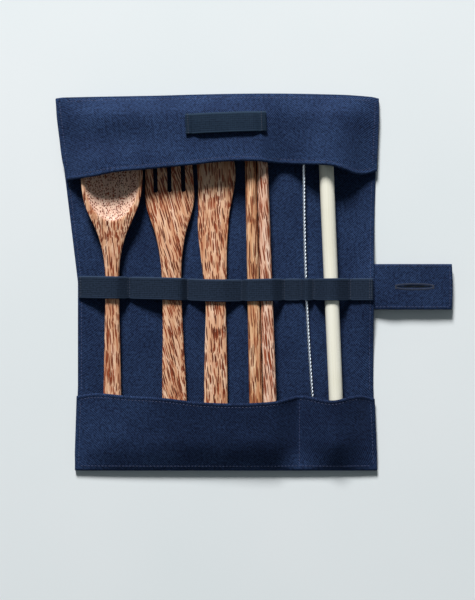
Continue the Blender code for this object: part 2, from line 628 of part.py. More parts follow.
def spoon(mat):
    s = stations(SPOON_LENGTH, SPOON_TIP_ROUND, SPOON_END_ROUND, 24)
    half, _, rim, _ = spoon_profile(s)
    rings = carved_rings(s, SPOON_TIP_Y, spoon_profile)
    reach = ((s - BOWL_MIDDLE) / BOWL_HALF_LENGTH)[:, None]
    across = rings[:, :, 0] / (half.max() - BOWL_LIP)
    hollow = BOWL_DEPTH * np.clip(1.0 - across ** 2 - reach ** 2, 0.0, 1.0) ** 0.8
    rings[:, :, 2] -= np.where(rings[:, :, 2] > rim[:, None] + 1e-6, hollow, 0.0)
    obj = loft("spoon", rings, mat)
    place(obj, SPOON_X)
    return obj


def fork(mat, cutter_mat):
    s = stations(FORK_LENGTH, FORK_TIP_ROUND, FORK_END_ROUND, 22)
    obj = loft("fork", carved_rings(s, FORK_TIP_Y, fork_profile, size=16), mat)
    place(obj, FORK_X, FORK_TURN)
    for k in range(FORK_TINES - 1):
        length = 2.0 * SLOT_DEPTH
        cutter = rounded_bar(f"slot_cutter_{k + 1}", length, SLOT_WIDTH, SLOT_CUTTER_HEIGHT, cutter_mat)
        offset = (k - (FORK_TINES - 2) / 2) * SLOT_SPACING
        cutter.parent = obj
        cutter.location = (offset, FORK_TIP_Y - SLOT_DEPTH + length / 2, 0.0)
        cutter.rotation_euler = (0.0, 0.0, math.pi / 2)
        cut(obj, cutter)
    return obj


def knife(mat):
    s = stations(KNIFE_LENGTH, KNIFE_TIP_ROUND, KNIFE_END_ROUND, 20)
    obj = loft("knife", carved_rings(s, KNIFE_TIP_Y, knife_profile, through(KNIFE_SWAY, s), 16), mat)
    place(obj, KNIFE_X)
    return obj


def chopstick(name, x, turn, mat):
    s = np.concatenate([CHOPSTICK_ROWS, CHOPSTICK_LENGTH - np.array(CHOPSTICK_BUTT_ROWS)])
    half, _, middle, _ = chopstick_profile(s)
    pinch = np.ones_like(s)
    pinch[:2] = CHOPSTICK_TIP_SHARES
    pinch[-2:] = CHOPSTICK_BUTT_SHARES
    power = (2.0 + (BUTT_SQUARENESS - 2.0) * smooth(s / CHOPSTICK_SQUARE_FROM))[:, None]
    angle = np.linspace(0.0, 2 * math.pi, 16, endpoint=False)
    c, d = np.cos(angle), np.sin(angle)
    px = (half * pinch)[:, None] * np.sign(c) * np.abs(c) ** (2 / power)
    pz = middle[:, None] + (half * pinch)[:, None] * np.sign(d) * np.abs(d) ** (2 / power)
    py = np.broadcast_to((CHOPSTICK_TIP_Y - s)[:, None], px.shape)
    obj = loft(name, np.stack([px, py, pz], axis=2), mat)
    place(obj, x, turn)
    return obj


def straw(mat):
    angle = np.linspace(0.0, 2 * math.pi, 24, endpoint=False)
    stops = [(0.0, STRAW_CHAMFER), (STRAW_CHAMFER, 0.0), (STRAW_LENGTH / 2, 0.0),
             (STRAW_LENGTH - STRAW_CHAMFER, 0.0), (STRAW_LENGTH, STRAW_CHAMFER), (STRAW_LENGTH, STRAW_WALL),
             (STRAW_LENGTH / 2, STRAW_WALL), (0.0, STRAW_WALL)]
    rings = []
    for s, inset in stops:
        outer = straw_radius(s)
        radius = outer - inset
        rings.append(np.stack([radius * np.cos(angle), np.full_like(angle, STRAW_TIP_Y - s),
                               outer + radius * np.sin(angle)], axis=1))
    obj = loft("straw", np.array(rings), mat, tube=True)
    place(obj, STRAW_X, STRAW_TURN)
    return obj


def brush_wire(mat):
    # Two strands laid round each other: a two-lobed section that turns along the wire
    length = WIRE_TIP_Y - WIRE_END_Y
    count = round(length / WIRE_LAY * 6)
    y = np.linspace(WIRE_TIP_Y, WIRE_END_Y, count + 1)
    middle = wire_point(y)
    angle = np.radians([0, 50, 130, 180, 230, 310])
    radius = WIRE_STRAND_RADIUS * (0.92 + 1.08 * np.abs(np.cos(angle)) ** 1.2)
    turn = (WIRE_TIP_Y - y) / WIRE_LAY * 2 * math.pi
    a = angle[None, :] + turn[:, None]
    rings = np.stack([middle[:, None, 0] + radius * np.cos(a), np.broadcast_to(y[:, None], a.shape),
                      middle[:, None, 2] + radius * np.sin(a)], axis=2)
    return loft("brush_wire", rings, mat)


def brush_bristles(mat):
    # A turned shape with a tooth for each row of bristles, bored for the wire
    angle = np.linspace(0.0, 2 * math.pi, 16, endpoint=False)
    start = WIRE_TIP_Y - BRISTLE_INSET
    bore = wire_radius() + TOUCH_GAP
    pitch = BRISTLE_LENGTH / BRISTLE_TEETH
    profile = [(0.0, bore), (0.0, BRISTLE_RADIUS - 2.2 * BRISTLE_TOOTH)]
    for k in range(BRISTLE_TEETH):
        crest = BRISTLE_RADIUS - (0.5 * BRISTLE_TOOTH if k in (0, BRISTLE_TEETH - 1) else 0.0)
        profile.append(((k + 0.5) * pitch, crest))
        profile.append(((k + 1.0) * pitch, crest - (2.0 if k == BRISTLE_TEETH - 1 else 1.0) * BRISTLE_TOOTH))
    profile.append((BRISTLE_LENGTH, bore))
    rings = []
    for s, radius in profile:
        middle = wire_point(np.array(start - s))
        rings.append(np.stack([middle[0] + radius * np.cos(angle), np.full_like(angle, middle[1]),
                               middle[2] + radius * np.sin(angle)], axis=1))
    return loft("brush_bristles", np.array(rings), mat, tube=True)


def main():
    for obj in list(bpy.data.objects):
        bpy.data.objects.remove(obj, do_unlink=True)
    navy = material("navy_twill", (0.016, 0.026, 0.066), 0.85)
    webbing = material("navy_webbing", (0.015, 0.024, 0.040), 0.8)
    wood = material("palm_wood", (0.42, 0.21, 0.13), 0.45)
    reed = material("cream_reed", (0.76, 0.74, 0.62), 0.45)
    steel = material("twisted_steel", (0.55, 0.56, 0.58), 0.3, 1.0)
    nylon = material("white_nylon", (0.8, 0.8, 0.8), 0.5)
    wrap_cloth(navy)
    elastic_band(webbing)
    carry_loop(webbing)
    closing_tab(navy, steel)
    spoon(wood)
    fork(wood, steel)
    knife(wood)
    for name, (x, turn) in chopstick_places().items():
        chopstick(name, x, turn, wood)
    straw(reed)
    brush_wire(steel)
    brush_bristles(nylon)


main()
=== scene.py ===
# An open cutlery wrap of navy twill: palm-wood spoon, fork, knife and chopsticks, a straw and its
# twisted-wire brush, seen from straight above.
# Metres. +Z up, +Y towards the folded flap, +X towards the closing tab. The table is z = 0.
import math

import bpy
import numpy as np
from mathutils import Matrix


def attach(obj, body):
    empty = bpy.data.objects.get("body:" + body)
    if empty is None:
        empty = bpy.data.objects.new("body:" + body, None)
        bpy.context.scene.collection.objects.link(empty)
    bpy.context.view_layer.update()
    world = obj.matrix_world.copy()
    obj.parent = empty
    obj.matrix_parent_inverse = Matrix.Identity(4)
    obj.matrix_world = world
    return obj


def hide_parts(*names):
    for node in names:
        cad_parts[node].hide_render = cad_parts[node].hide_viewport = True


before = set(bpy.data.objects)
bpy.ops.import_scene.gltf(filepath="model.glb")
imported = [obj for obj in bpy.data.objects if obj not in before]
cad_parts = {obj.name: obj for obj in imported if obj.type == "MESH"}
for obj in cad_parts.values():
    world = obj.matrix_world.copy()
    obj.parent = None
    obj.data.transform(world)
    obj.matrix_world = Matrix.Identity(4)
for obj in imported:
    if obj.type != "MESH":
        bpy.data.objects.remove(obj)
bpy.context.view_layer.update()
print("frame loaded:", len(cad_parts), "nodes")


def mm(*pairs):
    # Pairs of millimetres as metres
    return [(a / 1000, b / 1000) for a, b in pairs]


def ease(t):
    # 0 to 1 with level ends: 3 t^2 - 2 t^3
    t = np.clip(t, 0.0, 1.0)
    return t * t * (3.0 - 2.0 * t)


def hump(x, middle, reach):
    # 1 at the middle, falling off on both sides as a bell: exp(-((x - middle) / reach)^2)
    return np.exp(-((x - middle) / reach) ** 2)


def fromEdge(share):
    # Share of the way in from the nearer edge
    return np.minimum(share, 1.0 - share)


def unit(v):
    return v / (np.linalg.norm(v, axis=-1, keepdims=True) + 1e-12)


def circle(count):
    return np.linspace(0.0, 2 * math.pi, count, endpoint=False)


def ripple(x, y, size, seed):
    # Unevenness from -1 to 1: the mean of five plane sine waves, each of about that size
    rng = np.random.default_rng(seed)
    turn, phase = rng.uniform(0.0, math.pi, 5), rng.uniform(0.0, 2 * math.pi, 5)
    size = size * rng.uniform(0.7, 1.6, 5)
    return sum(np.sin(2 * math.pi * (x * math.cos(t) + y * math.sin(t)) / s + p)
               for t, s, p in zip(turn, size, phase)) / 5.0


def wrinkled(x, y, waves):
    return sum(height * ripple(x, y, size, seed) for height, size, seed in waves)


def through(points, x):
    # A smooth curve through a few (place, value) points: cubic Hermite pieces, level past both ends
    px, py = np.array(points, dtype=float).T
    slope = np.gradient(py, px)
    x = np.clip(x, px[0], px[-1])
    k = np.clip(np.searchsorted(px, x) - 1, 0, len(px) - 2)
    step = px[k + 1] - px[k]
    t = (x - px[k]) / step
    return ((1 + 2 * t) * (1 - t) ** 2 * py[k] + t * (1 - t) ** 2 * step * slope[k]
            + t * t * (3 - 2 * t) * py[k + 1] + t * t * (t - 1) * step * slope[k + 1])


def softened(z, step, reach):
    # z blurred along its line: each value becomes a bell-weighted mean of its neighbours
    count = max(1, int(3 * reach / step))
    weight = hump(np.arange(-count, count + 1) * step, 0.0, reach)
    return np.convolve(np.pad(z, count, mode="edge"), weight / weight.sum(), mode="valid")


def pulledTight(x, z):
    # The line that cloth takes when it is pulled tight over a profile: its upper hull
    hull = []
    for point in zip(x, z):
        while len(hull) > 1:
            (ax, az), (bx, bz) = hull[-2:]
            if (bx - ax) * (point[1] - az) - (bz - az) * (point[0] - ax) < 0:
                break
            hull.pop()
        hull.append(point)
    return np.interp(x, *np.array(hull).T)


def addObject(name, data):
    obj = bpy.data.objects.new(name, data)
    bpy.context.scene.collection.objects.link(obj)
    return obj


def addMesh(name, points, groups, mat, uv=None):
    # groups are arrays of faces, with one row of vertex numbers for each face
    mesh = bpy.data.meshes.new(name)
    corners = np.concatenate([g.ravel() for g in groups]).astype(np.int32)
    sizes = np.concatenate([np.full(len(g), g.shape[1]) for g in groups])
    starts = np.concatenate([[0], np.cumsum(sizes)[:-1]]).astype(np.int32)
    mesh.vertices.add(len(points))
    mesh.vertices.foreach_set("co", np.asarray(points, np.float32).ravel())
    mesh.loops.add(len(corners))
    mesh.loops.foreach_set("vertex_index", corners)
    mesh.polygons.add(len(sizes))
    mesh.polygons.foreach_set("loop_start", starts)
    mesh.polygons.foreach_set("use_smooth", np.ones(len(sizes), bool))
    if uv is not None:
        layer = mesh.uv_layers.new(name="cloth")
        layer.data.foreach_set("uv", np.asarray(uv, np.float32)[corners].ravel())
    mesh.update(calc_edges=True)
    mesh.validate()
    mesh.materials.append(mat)
    obj = addObject(name, mesh)
    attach(obj, "root")
    return obj


def addValues(obj, name, values):
    # A number for each point of obj, which its material reads by name
    layer = obj.data.attributes.new(name, "FLOAT", "POINT")
    layer.data.foreach_set("value", values.astype(np.float32))


def gridFaces(index):
    # The quads of a grid of vertex numbers; they face across x along
    return np.stack([index[:-1, :-1], index[:-1, 1:], index[1:, 1:], index[1:, :-1]], axis=-1).reshape(-1, 4)


def skin(rings, closed=False):
    # Points and faces of a skin over rings of points. It closes on the middle of both end rings,
    # or on itself like an inner tube.
    count, size = rings.shape[:2]
    index = np.arange(count * size).reshape(count, size)
    index = np.concatenate([index, index[:, :1]], axis=1)
    if closed:
        return rings.reshape(-1, 3), [gridFaces(np.concatenate([index, index[:1]]))]
    points = np.concatenate([rings.reshape(-1, 3), rings[:1].mean(axis=1), rings[-1:].mean(axis=1)])
    tip, end = np.full(size, count * size), np.full(size, count * size + 1)
    caps = [np.stack([index[0, 1:], index[0, :-1], tip], axis=1),
            np.stack([index[-1, :-1], index[-1, 1:], end], axis=1)]
    return points, [gridFaces(index), np.concatenate(caps)]


def clothShell(name, middle, half, mat):
    # A closed shell of cloth. Both faces lie half a thickness from the middle surface along its
    # normal. They share their border, where the thickness runs out to nothing. Its map is in metres:
    # across the cloth, and along it as it lies.
    half[:, 0] = half[:, -1] = half[0] = half[-1] = 0.0
    offset = unit(np.cross(np.gradient(middle, axis=1), np.gradient(middle, axis=0))) * half[..., None]
    rows, cols = half.shape
    index = np.arange(rows * cols).reshape(rows, cols)
    under = index.copy()
    under[1:-1, 1:-1] = rows * cols + np.arange((rows - 2) * (cols - 2)).reshape(rows - 2, cols - 2)
    run = np.cumsum(np.linalg.norm(np.diff(middle, axis=0, prepend=middle[:1]), axis=2), axis=0)
    width = np.cumsum(np.linalg.norm(np.diff(middle, axis=1, prepend=middle[:, :1]), axis=2), axis=1)
    uv = np.stack([width, run], axis=2)
    uv = np.concatenate([uv.reshape(-1, 2), uv[1:-1, 1:-1].reshape(-1, 2)])
    points = np.concatenate([(middle + offset).reshape(-1, 3), (middle - offset)[1:-1, 1:-1].reshape(-1, 3)])
    return addMesh(name, points, [gridFaces(index), gridFaces(under)[:, ::-1]], mat, uv)


roundSteps = np.array([0.0, 0.07, 0.28, 0.62, 1.0])


def roundEdge(distance, half):
    # Half thickness near a folded edge: a quarter circle that meets the flat cloth
    t = np.clip(distance / half, 0.0, 1.0)
    return half * np.sqrt(1.0 - (1.0 - t) ** 2)


def acrossSteps(width, half, count):
    # Shares from 0 to 1 across a strip, with close steps where its two edges are round
    edge = roundSteps * half / width
    return np.concatenate([edge, np.linspace(edge[-1], 1.0 - edge[-1], count)[1:-1], 1.0 - edge[::-1]])


thread = {"radius": 0.00023, "pitch": 0.0022, "length": 0.0018, "sides": 6, "sink": 1.3, "proud": 0.35}


def lineOfStitches(x, y, height, pitch=thread["pitch"]):
    # Middles and directions of stitches, evenly spaced along a line that lies on height(x, y)
    xy = np.stack(np.broadcast_arrays(x, y), axis=1)
    run = np.concatenate([[0.0], np.cumsum(np.linalg.norm(np.diff(xy, axis=0), axis=1))])
    count = max(1, round(run[-1] / pitch))
    at = (np.arange(count) + 0.5) * run[-1] / count

    def point(s):
        x, y = np.interp(s, run, xy[:, 0]), np.interp(s, run, xy[:, 1])
        return np.stack([x, y, height(x, y)], axis=1)

    return point(at), point(at + 0.0004) - point(at - 0.0004)


def addStitches(name, lines, mat, length=thread["length"], radius=thread["radius"]):
    # Every stitch is the same small capsule, whose ends dip into the cloth: a hexagon carried along
    # its line, sunk by the square of the distance from its middle
    place = np.concatenate([line[0] for line in lines])
    along = unit(np.concatenate([line[1] for line in lines]))
    across = unit(np.cross([0.0, 0.0, 1.0], along))
    up = np.cross(along, across)
    s = np.array([-1.0, -0.72, 0.0, 0.72, 1.0])[:, None]
    thick = radius * np.array([0.35, 0.85, 1.0, 0.85, 0.35])[:, None]
    angle = circle(thread["sides"])[None, :]
    high = thick * np.cos(angle) - radius * (thread["sink"] * s * s - thread["proud"])
    points, groups = skin(np.stack([np.broadcast_to(s * length / 2, high.shape), thick * np.sin(angle), high], axis=2))
    world = place[:, None] + sum(points[None, :, k:k + 1] * way[:, None] for k, way in enumerate((along, across, up)))
    shift = np.arange(len(place))[:, None, None] * len(points)
    return addMesh(name, world.reshape(-1, 3), [(g[None] + shift).reshape(-1, g.shape[1]) for g in groups], mat)


def srgb(code):
    # A hex colour turned to linear light
    parts = [int(code[i:i + 2], 16) / 255 for i in (1, 3, 5)]
    return (*[c / 12.92 if c <= 0.04045 else ((c + 0.055) / 1.055) ** 2.4 for c in parts], 1.0)


def addNode(tree, kind, values):
    # Adds a shader node. Values name its properties in small letters and its sockets by name or
    # number: a (node, output) pair is linked, stops fill a colour ramp, and the rest is set.
    node = tree.nodes.new("ShaderNode" + kind)
    for key, value in values.items():
        if isinstance(value, tuple) and isinstance(value[0], bpy.types.Node):
            tree.links.new(value[0].outputs[value[1]], node.inputs[key])
        elif key == "stops":
            ramp = node.color_ramp
            while len(ramp.elements) < len(value):
                ramp.elements.new(0.5)
            for stop, (at, code) in zip(ramp.elements, value):
                stop.position, stop.color = at, srgb(code)
        elif isinstance(key, str) and key[0].islower():
            setattr(node, key, value)
        else:
            node.inputs[key].default_value = value
    return node


def nodesOf(owner):
    # Empties the node tree of a material or the world, and returns what adds nodes to it
    owner.use_nodes = True
    owner.node_tree.nodes.clear()
    return lambda kind, values=None: addNode(owner.node_tree, kind, values or {})


def material(name, surface, look=None):
    # surface(node, look) adds a material's own nodes and returns its shader's settings
    mat = bpy.data.materials.new(name)
    node = nodesOf(mat)
    shader = node("BsdfPrincipled", surface(node, look))
    node("OutputMaterial", {"Surface": (shader, "BSDF")})
    return mat


def perWave(size):
    # The wave texture's scale at which one wave is that long
    return math.pi / 10 / size


def weaveHeight(node, place, turned, look):
    # How high the weave stands: warp and weft waves added up, with loose fibres over them
    warp = node("TexWave", {"Vector": turned, **look["warp"]})
    weft = node("TexWave", {"Vector": turned, "bands_direction": "Y", **look["weft"]})
    fuzz = node("TexNoise", {"Vector": place, "Detail": 3.0, **look["fuzz"]})
    crossed = node("Math", {"operation": "MULTIPLY_ADD", 0: (warp, "Fac"), 1: look["warpShare"], 2: (weft, "Fac")})
    return node("Math", {"operation": "MULTIPLY_ADD", 0: (crossed, 0), 1: look["depth"], 2: (fuzz, "Fac")})


def clothSurface(node, colour, weave, look):
    # Dyed fibres: matt, with a faint sheen of the nap
    bump = node("Bump", {"Strength": look["bump"], "Distance": 0.0002, "Height": (weave, 0)})
    return {"Base Color": (colour, 2), "Normal": (bump, "Normal"), "Roughness": look["rough"],
            "Specular IOR Level": 0.07, "Sheen Weight": look["sheen"], "Sheen Roughness": 0.5,
            "Sheen Tint": srgb(look["tint"])}


def wovenTwill(node, look):
    # Cotton twill, woven and piece-dyed. The loom's steep diagonal ribs, broken up by the weft, give
    # a fine slanted grain, and the worn nap gives soft paler patches. Each point's tone darkens it with
    # painted shade.
    place = node("UVMap", {"uv_map": "cloth"})
    turned = node("Mapping", {"Vector": (place, "UV"), "Rotation": (0.0, 0.0, math.radians(look["slant"]))})
    weave = weaveHeight(node, (place, "UV"), (turned, "Vector"), look)
    worn = node("TexNoise", {"Vector": (place, "UV"), "Scale": 38.0, "Detail": 5.0, "Roughness": 0.6})
    ground = node("ValToRGB", {"Fac": (weave, 0), "stops": look["stops"]})
    tone = node("ValToRGB", {"Fac": (worn, "Fac"), "stops": [(0.34, "#CFCFD6"), (0.66, "#FFFFFF")]})
    # painted shade: the tone darkens the pocket's front and the lower back
    shadeToneRead = node("Attribute", {"attribute_name": "faded"})
    paintedShadeRamp = node("ValToRGB", {"Fac": (shadeToneRead, "Fac"), "stops": [(0.0, "#C4C5CC"), (1.0, "#FFFFFF")]})
    multiply = {"data_type": "RGBA", "blend_type": "MULTIPLY", 0: 1.0}
    wornAndPaintedShade = node("Mix", {**multiply, 6: (tone, "Color"), 7: (paintedShadeRamp, "Color")})
    dyed = node("Mix", {**multiply, 6: (ground, "Color"), 7: (wornAndPaintedShade, 2)})
    return clothSurface(node, dyed, weave, look)


def wovenTape(node, look):
    # Narrow tape from a ribbon loom, in dyed polyester: ribs across it, finer cords along it, and a
    # slightly paler corded selvedge at both edges
    place = node("UVMap", {"uv_map": "cloth"})
    weave = weaveHeight(node, (place, "UV"), (place, "UV"), look)
    ground = node("ValToRGB", {"Fac": (weave, 0), "stops": look["stops"]})
    split = node("SeparateXYZ", {"Vector": (place, "UV")})
    middle = look["width"] / 2
    fromMiddle = node("Math", {"operation": "SUBTRACT", 0: (split, "Y"), 1: middle})
    away = node("Math", {"operation": "ABSOLUTE", 0: (fromMiddle, 0)})
    selvedge = node("MapRange", {"interpolation_type": "SMOOTHSTEP", 0: (away, 0), 1: middle - 0.0013,
                                 2: middle - 0.0005, 4: look["paler"]})
    corded = node("Mix", {"data_type": "RGBA", 0: (selvedge, 0), 6: (ground, "Color"), 7: srgb(look["selvedge"])})
    return clothSurface(node, corded, weave, look)


def sewingThread(node, code):
    # Polyester sewing thread, twisted from two yarns: a soft gleam with fine slanted lines
    place = node("TexCoord")
    twist = node("TexWave", {"bands_direction": "DIAGONAL", "Vector": (place, "Object"), "Scale": perWave(0.0005),
                             "Distortion": 1.0})
    colour = node("ValToRGB", {"Fac": (twist, "Fac"), "stops": [(0.0, "#0E1220"), (0.6, code)]})
    return {"Base Color": (colour, "Color"), "Roughness": 0.55, "Specular IOR Level": 0.4}


def palmWood(node, look):
    # Coconut palm wood, carved, sanded and oiled: a pale peach-brown pith full of dark red-brown
    # fibre bundles. They run nearly along the piece, so a flat cut shows long flecks. The steep
    # wall of a hollow cuts them short, to dots, and a whitish pink painted highlight is laid over it.
    place = node("TexCoord")
    wander = node("TexNoise", {"Vector": (place, "Object"), "Scale": 55.0, "Detail": 2.0})
    bent = node("VectorMath", {"operation": "MULTIPLY_ADD", 0: (wander, "Color"), 1: (look["sway"],) * 3,
                               2: (place, "Object")})
    turned = node("Mapping", {"Vector": (bent, "Vector"), "Location": look["shift"],
                              "Rotation": (math.radians(look["dive"]), 0.0, math.radians(-look["slant"]))})

    def bundles(thick, length, fill):
        # Cells stretched along the grain. A bundle fills the middle of each, some more than others.
        cells = node("Mapping", {"Vector": (turned, "Vector"), "Scale": (1 / thick, 1 / length, 1 / thick)})
        spot = node("TexVoronoi", {"Vector": (cells, "Vector"), "Scale": 1.0})
        vary = node("SeparateColor", {"Color": (spot, "Color")})
        size = node("Math", {"operation": "MULTIPLY_ADD", 0: (vary, 0), 1: -0.22, 2: (spot, "Distance")})
        return vary, node("MapRange", {"interpolation_type": "SMOOTHSTEP", 0: (size, 0), 1: fill - 0.035,
                                       2: fill + 0.035, 3: 1.0, 4: 0.0})

    thick, fill = look["thick"], look["fill"]
    vary, fleck = bundles(thick, look["fleck"], fill)
    streak = bundles(thick * 0.7, look["fleck"] * 2.2, look["streak"])[1]
    dot = bundles(thick * 1.15, thick * 1.6, fill - 0.05)[1]
    hollow = node("Attribute", {"attribute_name": "hollow"})
    marks = node("Mix", {0: (hollow, "Fac"), 2: (fleck, 0), 3: (dot, 0)})
    soft = node("Mapping", {"Vector": (turned, "Vector"), "Scale": (1 / 0.0030, 1 / 0.03, 1 / 0.0030)})
    pith = node("TexNoise", {"Vector": (soft, "Vector"), "Scale": 1.0, "Detail": 4.0, "Roughness": 0.6})
    ground = node("ValToRGB", {"Fac": (pith, "Fac"), "stops": list(zip((0.32, 0.50, 0.68), look["pith"]))})
    faint = node("Math", {"operation": "MULTIPLY", 0: (streak, 0), 1: look["rusty"]})
    rusty = node("Mix", {"data_type": "RGBA", 0: (faint, 0), 6: (ground, "Color"), 7: srgb(look["rust"])})
    dark = node("ValToRGB", {"Fac": (vary, 1), "stops": list(zip((0.1, 0.9), look["bundle"]))})
    # painted highlight: the hollow's wall is paled towards whitish pink, standing in for the bowl's gleam
    paintedHighlight = node("Math", {"operation": "MULTIPLY", 0: (hollow, "Fac"), 1: 0.34})
    withPaintedHighlight = node("Mix", {"data_type": "RGBA", 0: (paintedHighlight, 0), 6: (rusty, 2), 7: srgb("#F6E2DA")})
    marked = node("Mix", {"data_type": "RGBA", 0: (marks, 0), 6: (withPaintedHighlight, 2), 7: (dark, "Color")})
    bump = node("Bump", {"invert": True, "Strength": 0.2, "Distance": 0.00012, "Height": (marks, 0)})
    rough = node("MapRange", {0: (marks, 0), 3: 0.36, 4: 0.52})
    return {"Base Color": (marked, 2), "Normal": (bump, "Normal"), "Roughness": (rough, 0), "Specular IOR Level": 0.2}


def peeledReed(node, look):
    # Peeled reed, sanded smooth: a satin cream skin with faint lengthwise fibres
    place = node("TexCoord")
    turned = node("Mapping", {"Vector": (place, "Object"), "Rotation": (0.0, 0.0, -look["turn"])})
    fibres = node("Mapping", {"Vector": (turned, "Vector"), "Scale": (1 / 0.0009, 1 / 0.07, 1 / 0.0009)})
    fine = node("TexNoise", {"Vector": (fibres, "Vector"), "Scale": 1.0, "Detail": 5.0, "Roughness": 0.65})
    cloud = node("TexNoise", {"Vector": (place, "Object"), "Scale": 30.0, "Detail": 2.0})
    both = node("Mix", {0: 0.4, 2: (fine, "Fac"), 3: (cloud, "Fac")})
    colour = node("ValToRGB", {"Fac": (both, 0), "stops": [(0.3, "#E4E0CC"), (0.5, "#F2EFDF"), (0.7, "#F8F6EA")]})
    bump = node("Bump", {"Strength": 0.15, "Distance": 0.0001, "Height": (fine, "Fac")})
    return {"Base Color": (colour, "Color"), "Normal": (bump, "Normal"), "Roughness": 0.4, "Specular IOR Level": 0.4}


def drawnSteel(node, look):
    # Stainless steel wire, cold-drawn and then twisted: softly bright, with fine lengthwise draw marks
    place = node("TexCoord")
    marks = node("Mapping", {"Vector": (place, "Object"), "Scale": (1 / 0.0002, 1 / 0.004, 1 / 0.0002)})
    fine = node("TexNoise", {"Vector": (marks, "Vector"), "Scale": 1.0, "Detail": 3.0})
    rough = node("MapRange", {0: (fine, "Fac"), 3: 0.40, 4: 0.54})
    return {"Base Color": srgb("#A6ADB5"), "Metallic": 1.0, "Roughness": (rough, 0)}


def extrudedNylon(node, look):
    # Nylon filament, extruded: milky white, a little glossy
    cloud = node("TexNoise", {"Vector": (node("TexCoord"), "Object"), "Scale": 300.0})
    colour = node("ValToRGB", {"Fac": (cloud, "Fac"), "stops": [(0.3, "#DADDDC"), (0.7, "#F0F1F0")]})
    return {"Base Color": (colour, "Color"), "Roughness": 0.35}


def rolledPaint(node, look):
    # A table top painted with a roller: even and matt, its colour drifting a little
    cloud = node("TexNoise", {"Vector": (node("TexCoord"), "Object"), "Scale": 6.0, "Detail": 3.0})
    tint = node("ValToRGB", {"Fac": (cloud, "Fac"), "stops": [(0.3, "#E4EBEE"), (0.7, "#E9EEF1")]})
    return {"Base Color": (tint, "Color"), "Roughness": 0.6, "Specular IOR Level": 0.3}


cloth = {"thick": 0.0012, "gap": 0.0003, "drape": 0.0007, "clear": 0.0005, "hemExtra": 0.0004, "top": 0.1206,
         "bottom": -0.1203, "waistLeft": -0.1127, "waistRight": 0.0762, "waistTop": 0.0, "waistBottom": -0.066,
         "topFlare": (0.0146, 0.0037), "topFlareCurve": 1.5, "bottomFlare": (0.0018, 0.0024), "cornerRound": 0.0005,
         "flapOverhang": 0.0005, "pocketOverhang": 0.0004, "foldRadius": 0.0013, "seamRadius": 0.00085,
         "edgeLift": 0.0055, "edgeLiftWidth": 0.016, "edgeLiftLength": 0.030, "dividerX": 0.0288, "columns": 158}
flat = cloth["thick"] / 2  # middle of the cloth where it lies flat
bed = cloth["thick"] + cloth["gap"]  # what lies in the wrap rests at this height
layer = bed + flat  # middle of a second layer of cloth

# what lies in the wrap has its widths and heights given by distance from its tip
carving = {"turn": 0.0, "endRound": 0.0080, "squareness": 3.0}
spoon = {**carving, "x": -0.0903, "tipY": 0.0940, "length": 0.1980, "tipRound": 0.0270, "endRound": 0.0070,
         "half": mm((27, 19.6), (38, 18.6), (46, 16.7), (53.5, 13.6), (61, 10.1), (69, 7.4), (77, 5.6), (88, 4.5),
                    (110, 4.6), (136, 5.1), (162, 5.6), (192, 6)),
         "low": mm((0, 5), (6, 2.6), (14, 0.9), (27, 0), (40, 0), (55, 0.9), (70, 1.8), (88, 1.8), (120, 0.9),
                   (160, 0.2), (190, 0)),
         "top": mm((0, 7.8), (14, 8.8), (27, 9), (50, 8.8), (70, 7.6), (88, 6.9), (120, 5.8), (160, 5), (190, 4.6)),
         "rim": [(0.050, 0.86), (0.085, 0.50)],
         "bowlMiddle": 0.0290, "bowlHalfLength": 0.0265, "bowlLip": 0.0021, "bowlDepth": 0.0056}
fork = {**carving, "x": -0.0525, "turn": 0.0237, "tipY": 0.0950, "length": 0.1990, "tipRound": 0.0060,
        "half": mm((0, 13.8), (15, 14.7), (33, 15.5), (40, 15.7), (47, 14.9), (54.5, 12.8), (62, 10.3), (70, 8.5),
                   (78, 7.2), (89, 6.3), (111, 6.2), (132, 6.7), (152, 7.4), (168, 7.8), (190, 7.9)),
        "low": mm((0, 3), (18, 1), (36, 0), (60, 0.8), (80, 1.5), (120, 0.8), (160, 0.2), (190, 0)),
        "top": mm((0, 5.8), (18, 4.6), (40, 4.4), (60, 5.6), (80, 6.4), (120, 5.8), (160, 5), (190, 4.6)),
        "slotWidth": 0.0028, "slotSpacing": 0.0088, "slotDepth": 0.0378}
knife = {**carving, "x": -0.0244, "tipY": 0.0960, "length": 0.2000, "tipRound": 0.0260,
         "half": mm((20, 12.4), (30, 12), (44, 10.8), (52, 10), (60, 9.8), (75, 8.7), (90, 7.7), (112, 6.5), (133, 7),
                    (164, 7.5), (190, 7.6)),
         "sway": mm((0, -4), (14, -1), (30, 0.5), (44, -0.6), (58, -1.7), (75, -1.6), (90, -0.7), (112, 0)),
         "low": mm((0, 1), (20, 0.4), (60, 0.2), (110, 0), (190, 0)),
         "top": mm((0, 2.6), (20, 3.2), (60, 3.8), (110, 5), (190, 4.6))}
stick = {"length": 0.2075, "tipY": 0.1060, "tip": 0.0034, "butt": 0.0044, "squareness": 4.2, "squareFrom": 0.16,
         "pairX": 0.0035, "pairTurn": 0.0274, "pairGap": 0.0004}
stickTaper = (stick["butt"] - stick["tip"]) / stick["length"]
stickReach = stick["tip"] + stickTaper * stick["tipY"] + stick["pairGap"] / 2
stickLeft, stickRight = ({**stick, "x": stick["pairX"] + side * stickReach,
                          "turn": stick["pairTurn"] + side * stickTaper} for side in (-1, 1))
straw = {"x": 0.0489, "turn": 0.0415, "tipY": 0.0940, "length": 0.1950, "tip": 0.0047, "butt": 0.0044, "wall": 0.0010,
         "edge": 0.0003, "around": 56, "squareness": 2.0}
brush = {"x": 0.0330, "slope": -0.0377, "curve": 0.27, "turn": 0.0, "tipY": 0.1055, "length": 0.2065,
         "strand": 0.00046, "lay": 0.0046, "bristle": 0.0032, "bristleLength": 0.0265, "filament": 0.00006,
         "squareness": 2.0}
contents = [spoon, fork, knife, stickLeft, stickRight, straw, brush]


